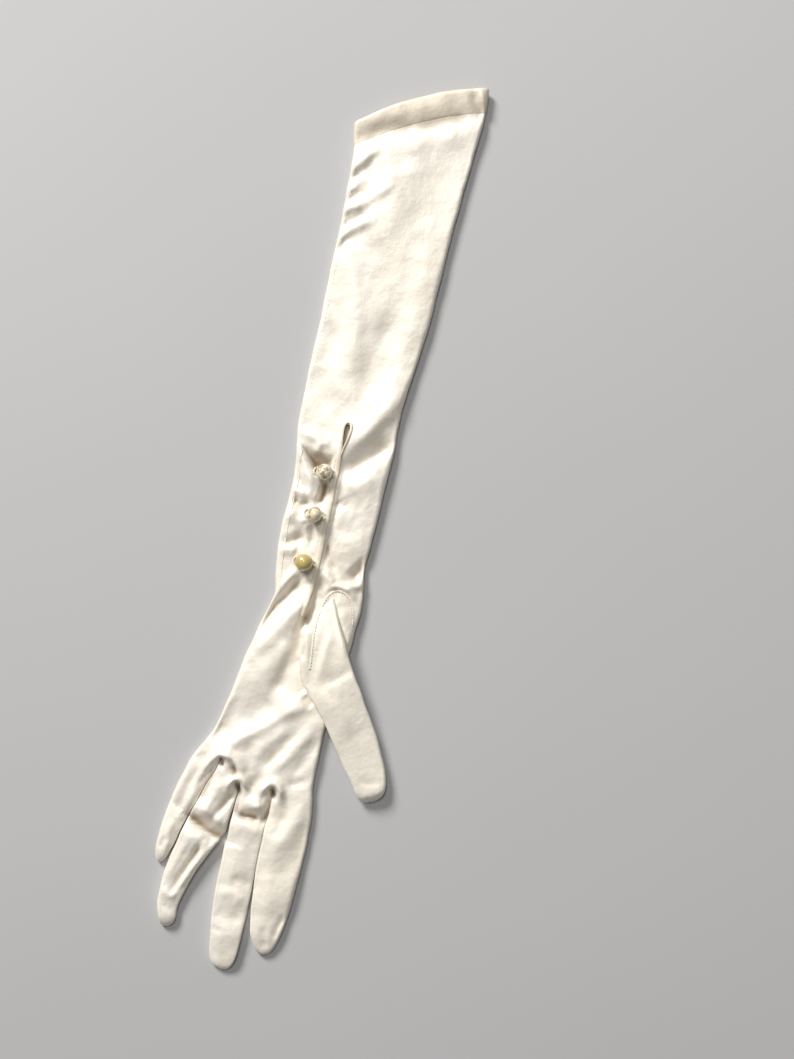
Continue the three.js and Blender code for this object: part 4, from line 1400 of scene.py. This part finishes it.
# Buttons: an old coated bead each, with its own size, tilt and peeled places.
Bead = namedtuple("Bead", "node x y across along deep seed wear color")
BEADS = [
    Bead("pearl_button_1", -6.5, 36.2, 5.1, 5.3, 5.0, 1, 1.0, (0.84, 0.78, 0.63)),
    Bead("pearl_button_2", -6.4, 9.0, 4.7, 5.0, 4.7, 2, 1.0, (0.82, 0.73, 0.51)),
    Bead("pearl_button_3", -6.2, -21.5, 5.7, 5.3, 5.2, 3, 0.0, (0.58, 0.45, 0.16)),
]
BEAD_LIFT = 0.8  # how far a bead's underside stands above the cloth
BEAD_REACH = 1.0  # how far from its middle the cloth is felt for
SHANK_RADIUS = 1.3
SHANK_ROOT = 0.2  # how far its shank starts below the cloth
BIG_LUMPS = 0.035  # how uneven a bead is
SMALL_LUMPS = 0.012
WORN_SIDE = Vector((-0.5, 0.35, 0.8))
WORN_LEAN = 0.4  # how strongly the wear keeps to that side
SMALL_WEAR = 0.3
CHIP_DEPTH = 0.32
CHIP_START = 0.36  # how worn the coat is where it begins to peel
CHIP_EDGE = 0.06  # and how quickly it is then gone


def pearl_bead(bead, tops):
    """One bead on its shank, a little uneven, with chips in its coat."""
    bm = bmesh.new()
    chip = bm.verts.layers.float.new("chip")
    bmesh.ops.create_uvsphere(bm, u_segments=56, v_segments=36, radius=1.0)
    floor = tops.at(bead.x, bead.y, BEAD_REACH)
    centre = Vector((bead.x, bead.y, floor + BEAD_LIFT + bead.deep))
    offset = Vector((bead.seed * 5.1, bead.seed * 2.7, 0))
    for vert in bm.verts:
        out = vert.co.normalized()
        lump = 1 + BIG_LUMPS * noise.noise(out * 1.3 + offset)
        lump += SMALL_LUMPS * noise.noise(out * 4 + offset)
        worn = out.dot(WORN_SIDE) * WORN_LEAN + noise.noise(out * 1.6 + offset * 2)
        worn += SMALL_WEAR * noise.noise(out * 5 + offset)
        depth = ease((worn - CHIP_START) / CHIP_EDGE) * bead.wear
        vert[chip] = depth
        shape = Vector((out.x * bead.across, out.y * bead.along, out.z * bead.deep)) * lump
        shape -= out * depth * CHIP_DEPTH
        spot = centre + shape
        vert.co = place(spot.x, spot.y, spot.z)
    foot = Vector((bead.x, bead.y, floor - SHANK_ROOT))
    tube(bm, [foot.lerp(centre, t) for t in (0.0, 0.2, 0.4)], round_section(SHANK_RADIUS, 12))
    return drawn_object(bm, bead.node.replace("button", "bead"))


LOOP_HALF_WIDTH = 2.7
LOOP_REACH = 6.9  # how far a loop reaches past its button's middle
LOOP_START = 6.6  # and how far before it the loop starts, at the binding
LOOP_ROOT = 1.2  # half the distance between its two roots
LOOP_SHOULDER = 2  # how far from its roots it reaches its full width
LOOP_END = 0.9  # its width at its end, against its full width
LOOP_FEEL = 0.7  # how far beside it the cloth is felt for
STRAND_RADIUS = 0.36
TWIST_RADIUS = 0.3
TWIST_LIFT = 0.4  # how much of that the thread is lifted by
TWIST_PITCH = 2.0
LOOP_STEP = 0.45


def button_loop(bead, tops):
    """A loop of two twisted strands from the binding round a button's shank."""
    shape = [
        (LOOP_START, LOOP_ROOT), (LOOP_START - LOOP_SHOULDER, LOOP_HALF_WIDTH), (0, LOOP_HALF_WIDTH),
        (-LOOP_REACH, LOOP_HALF_WIDTH * LOOP_END),
    ]
    shape += [(x, -y) for x, y in reversed(shape)]
    rows = smooth_path([(bead.x + x, bead.y + y) for x, y in shape], LOOP_STEP)
    lift = STRAND_RADIUS + TWIST_RADIUS * TWIST_LIFT
    heights = settled([tops.at(x, y, LOOP_FEEL) + lift for x, y in rows], 4)
    line = [Vector((x, y, height)) for (x, y), height in zip(rows, heights)]
    bm = bmesh.new()
    for strand in (0, math.pi):
        centres = []
        for k, point in enumerate(line):
            forward = heading(line, k)
            side = forward.cross(Vector((0, 0, 1))).normalized()
            turn = strand + 2 * math.pi * k * LOOP_STEP / TWIST_PITCH
            out = side * math.cos(turn) + side.cross(forward) * math.sin(turn)
            centres.append(point + out * TWIST_RADIUS)
        tube(bm, centres, round_section(STRAND_RADIUS, 6))
    return drawn_object(bm, bead.node.replace("pearl_button", "thread_loop"))


# Seams: the line that each follows, a stitch's length, the gap between two, and its thickness.
Seam = namedtuple("Seam", "path stitch gap thick")
THUMB_SEAM = [
    (13, -86), (12, -75), (10.3, -62), (10.5, -52), (12, -43), (14.2, -37.5), (17.2, -35.2),
    (21, -34.8), (25, -36.6), (28, -40.4), (30.2, -46), (31.5, -54),
]
WRIST_SEAM = [(-24.4, 46), (-22.4, 32), (-22.2, 10), (-22, -8), (-20, -30), (-17.8, -44)]
SEAMS = [
    Seam(THUMB_SEAM, 1.5, 0.5, 0.26),
    Seam([(-31, 232), (-29.6, 205), (-28.8, 175), (-27.8, 130), (-27.4, 90), (-26.4, 62)], 1.6, 1.2, 0.14),
    Seam(WRIST_SEAM, 1.6, 1.2, 0.14),
    Seam([(-30.6, -158), (-33.4, -168), (-36.2, -178), (-38.4, -186)], 1.2, 0.9, 0.18),
    Seam([(-16.2, -170), (-16.6, -180), (-17.8, -191)], 1.2, 0.9, 0.18),
    Seam([(-41.9, -204), (-43.8, -214), (-45.4, -226), (-46.8, -242), (-45, -256)], 1.2, 0.9, 0.16),
    Seam([(-22, -209), (-28.4, -223), (-33.6, -236), (-36.6, -250)], 1.2, 0.9, 0.16),
    Seam([(-13, -170), (-12.9, -190), (-13.4, -225), (-12.6, -246), (-9.6, -266)], 1.2, 0.9, 0.16),
    Seam([(4.4, -170), (4.6, -190), (4.6, -215), (6, -238), (6.2, -262)], 1.2, 0.9, 0.16),
    Seam([(8.6, -170), (8.8, -190), (8.6, -215), (10.2, -236), (14.4, -256)], 1.2, 0.9, 0.16),
    Seam([(-38, -172), (-43.4, -188), (-47.6, -206)], 1.2, 0.9, 0.16),
]
STITCH_JUMP = 1.2  # a stitch isn't drawn over a step higher than this
STITCH_SIT = 0.35  # how much of its thickness it stands above the cloth
WELTED = [THUMB_SEAM, WRIST_SEAM]
WELT_RADIUS = 0.55
WELT_SINK = 0.45  # how much of that lies in the cloth
WELT_OFFSET = 0.72  # how far a seam's raised edge runs beside its stitches
WELT_STEP = 1.2


def seam_welts(tops):
    """The low raised edge where two pieces of satin are sewn together, beside each line of stitches."""
    bm = bmesh.new()
    for path in WELTED:
        points = smooth_path(path, WELT_STEP)
        line = []
        for k, point in enumerate(points):
            ahead = heading(points, k)
            line.append(point - Vector((ahead.y, -ahead.x)) * WELT_OFFSET)
        line = [p for p in line if tops.at(p.x, p.y) > 0]
        heights = settled([tops.at(p.x, p.y) for p in line], 1)
        centres = [Vector((p.x, p.y, z - WELT_RADIUS * WELT_SINK)) for p, z in zip(line, heights)]
        tube(bm, centres, round_section(WELT_RADIUS, 8))
    return drawn_object(bm, "seam_welts")


def stitches(name, seams, tops):
    """The stitches of some seams, as one piece: short plump threads that dip into the cloth."""
    bm = bmesh.new()
    for seam in seams:
        pitch = seam.stitch + seam.gap
        points = smooth_path(seam.path, pitch)
        for here, there in zip(points, points[1:]):
            run = (there - here).normalized() * seam.stitch
            z_here = tops.at(here.x, here.y)
            z_there = tops.at(here.x + run.x, here.y + run.y)
            if abs(z_here - z_there) > STITCH_JUMP or min(z_here, z_there) <= 0:
                continue
            start = place(here.x, here.y, z_here)
            end = place(here.x + run.x, here.y + run.y, z_there)
            along = end - start
            turn = along.to_track_quat("X", "Z").to_matrix().to_4x4()
            size = Matrix.Diagonal((along.length / 2, seam.thick * MM, seam.thick * MM, 1))
            spot = Matrix.Translation((start + end) / 2 + Vector((0, 0, seam.thick * STITCH_SIT * MM)))
            matrix = spot @ turn @ size
            bmesh.ops.create_uvsphere(bm, u_segments=6, v_segments=5, radius=1.0, matrix=matrix)
    return mesh_object(bm, name)


# Stage

VIEW_CENTRE = (45.7, 11.5)
VIEW_TURN = math.radians(13.0)
VIEW_LENS = 50.0
VIEW_SENSOR = 36.0
VIEW_LENGTH = 665.0  # what the frame's long side takes in at the glove, in mm
GLOVE_MIDDLE = 5.0  # height of the glove's middle
FLOOR_SIZE = 3.0  # half its side, in metres
ROOM_LIGHT = 0.15
ROOM_COLOR = (1.0, 0.98, 0.95, 1.0)
NEAREST_SEEN = 0.01  # in metres
FARTHEST_SEEN = 20.0
LIT_PLACE = (0, 10)  # what the lamps are aimed at
# Each lamp's compass angle in the picture (0 right, 90 up), its height angle, its distance and
# width in metres, its power and its colour.
Lamp = namedtuple("Lamp", "name toward height distance size power color")
LAMPS = [
    Lamp("key", 121, 33, 3.6, 1.2, 158.0, (1.0, 0.985, 0.965)),
    Lamp("top", 100, 70, 3.0, 0.8, 26.0, (1.0, 0.99, 0.975)),
]


def camera():
    """The camera, straight above the glove, with the frame turned against the glove's length."""
    data = bpy.data.cameras.new("camera")
    data.lens = VIEW_LENS
    data.sensor_width = VIEW_SENSOR
    data.clip_start = NEAREST_SEEN
    data.clip_end = FARTHEST_SEEN
    obj = bpy.data.objects.new("camera", data)
    distance = VIEW_LENGTH * VIEW_LENS / VIEW_SENSOR + GLOVE_MIDDLE
    obj.location = place(*VIEW_CENTRE, distance)
    obj.rotation_euler = (0, 0, VIEW_TURN)
    bpy.context.scene.collection.objects.link(obj)
    bpy.context.scene.camera = obj


def light(lamp):
    """A round soft light, aimed at the glove's middle."""
    angle = math.radians(lamp.toward) + VIEW_TURN
    rise = math.radians(lamp.height)
    aim = Vector((math.cos(angle) * math.cos(rise), math.sin(angle) * math.cos(rise), math.sin(rise)))
    data = bpy.data.lights.new(lamp.name, "AREA")
    data.shape = "DISK"
    data.size = lamp.size
    data.energy = lamp.power
    data.color = lamp.color
    obj = bpy.data.objects.new(lamp.name, data)
    obj.location = place(*LIT_PLACE) + aim * lamp.distance
    obj.rotation_euler = aim.to_track_quat("Z", "Y").to_euler()
    bpy.context.scene.collection.objects.link(obj)


def stage():
    """The floor, the room's faint light and the lamps."""
    bm = bmesh.new()
    bmesh.ops.create_grid(bm, x_segments=1, y_segments=1, size=FLOOR_SIZE)
    floor = mesh_object(bm, "floor")
    floor.data.materials.append(floor_material())
    world = bpy.data.worlds.new("world")
    world.use_nodes = True
    background = world.node_tree.nodes["Background"]
    background.inputs["Color"].default_value = ROOM_COLOR
    background.inputs["Strength"].default_value = ROOM_LIGHT
    scene = bpy.context.scene
    scene.world = world
    scene.view_settings.view_transform = "Standard"
    for lamp in LAMPS:
        light(lamp)


# Cloth pieces

FOLD_STRENGTH = 1.22  # how much fuller the folds are than in their tables
WRIST_STRENGTH = 1.3  # and how much fuller again at the wrist


def glove_hand():
    """Sleeve, palm and fingers in one skin, with the slit cut open and the folds raised."""
    cloth = Cloth()
    rings, travel = draw_arm(cloth)
    draw_fingers(cloth, rings[-1], travel)
    open_slit(cloth, rings)
    obj = cloth.finish("glove_hand")
    wrist_folds = [fold._replace(rise=fold.rise * WRIST_STRENGTH) for fold in WRIST_FOLDS]
    folds = SLEEVE_FOLDS + wrist_folds + PALM_FOLDS + ROOT_FOLDS + FINGER_FOLDS
    raise_folds(obj, folds, GATHERS, DENTS, strength=FOLD_STRENGTH)
    soil(obj)
    return obj


def cuff_hem():
    """The turned-up band round the mouth, which takes the folds of the sleeve inside it."""
    cloth = Cloth()
    ring = None
    for row, travel in spread(ARM):
        if travel > HEM_WIDTH:
            break
        tuck = HEM_TUCK * ease((travel - HEM_WIDTH + HEM_TUCK_LENGTH) / HEM_TUCK_LENGTH)
        points = arm_ring(row, travel, tuck)
        ring = cloth.draw_on(ring, points) if ring else cloth.start(points)
    obj = cloth.finish("cuff_band")
    raise_folds(obj, SLEEVE_FOLDS, strength=FOLD_STRENGTH)
    soil(obj)
    give_wall(obj, HEM_WALL)
    return obj


def glove_thumb():
    """The thumb, closed at its root and at its tip."""
    cloth = Cloth()
    rows = spread(THUMB)
    ring = cloth.start(thumb_ring(*rows[0]))
    cloth.close(ring)
    for row, travel in rows[1:]:
        ring = cloth.draw_on(ring, thumb_ring(row, travel))
    cloth.close(ring)
    obj = cloth.finish("glove_thumb")
    raise_folds(obj, THUMB_FOLDS, sway=THUMB_SWAY)
    soil(obj)
    return obj


# The glove

camera()
stage()
hand = glove_hand()
thumb = glove_thumb()
hem = cuff_hem()
tops = Tops(hand, thumb, hem)
give_wall(hand)
ivory_satin = satin("ivory_satin", IVORY)
# A darker copy of the satin: its tan is partly painted shade.
edge_shaded_satin = satin("edge_shaded_satin", EDGE_SHADED_IVORY)
sewing_thread = thread("sewing_thread", rgb(0.86, 0.81, 0.71), rgb(0.74, 0.66, 0.52))
# The thumb seam's thread is darker: its own tone, with a painted shadow line along the seam's crease.
shadowed_stitch_thread = thread("shadowed_stitch_thread", rgb(0.62, 0.54, 0.42), rgb(0.50, 0.42, 0.31))
finish_piece(
    hand, ivory_satin, "satin",
    "satin_shell", "fourchette_little_ring", "fourchette_ring_middle", "fourchette_middle_index",
)
finish_piece(thumb, ivory_satin, "satin", "thumb")
finish_piece(hem, edge_shaded_satin, "satin_edge", "cuff_hem")
finish_piece(slit_binding(tops), edge_shaded_satin, "satin_edge", "slit_binding")
finish_piece(slit_underlap(tops), edge_shaded_satin, "satin_edge")
finish_piece(stitches("thumb_stitches", SEAMS[:1], tops), shadowed_stitch_thread, "thread")
finish_piece(stitches("seam_stitches", SEAMS[1:], tops), sewing_thread, "thread")
finish_piece(seam_welts(tops), ivory_satin, "satin")
for bead in BEADS:
    coat = pearl_coat(bead.node.replace("button", "coat"), bead.color)
    finish_piece(pearl_bead(bead, tops), coat, "pearl", bead.node)
    loop_node = bead.node.replace("pearl_button", "button_loop")
    finish_piece(button_loop(bead, tops), sewing_thread, "thread", loop_node)
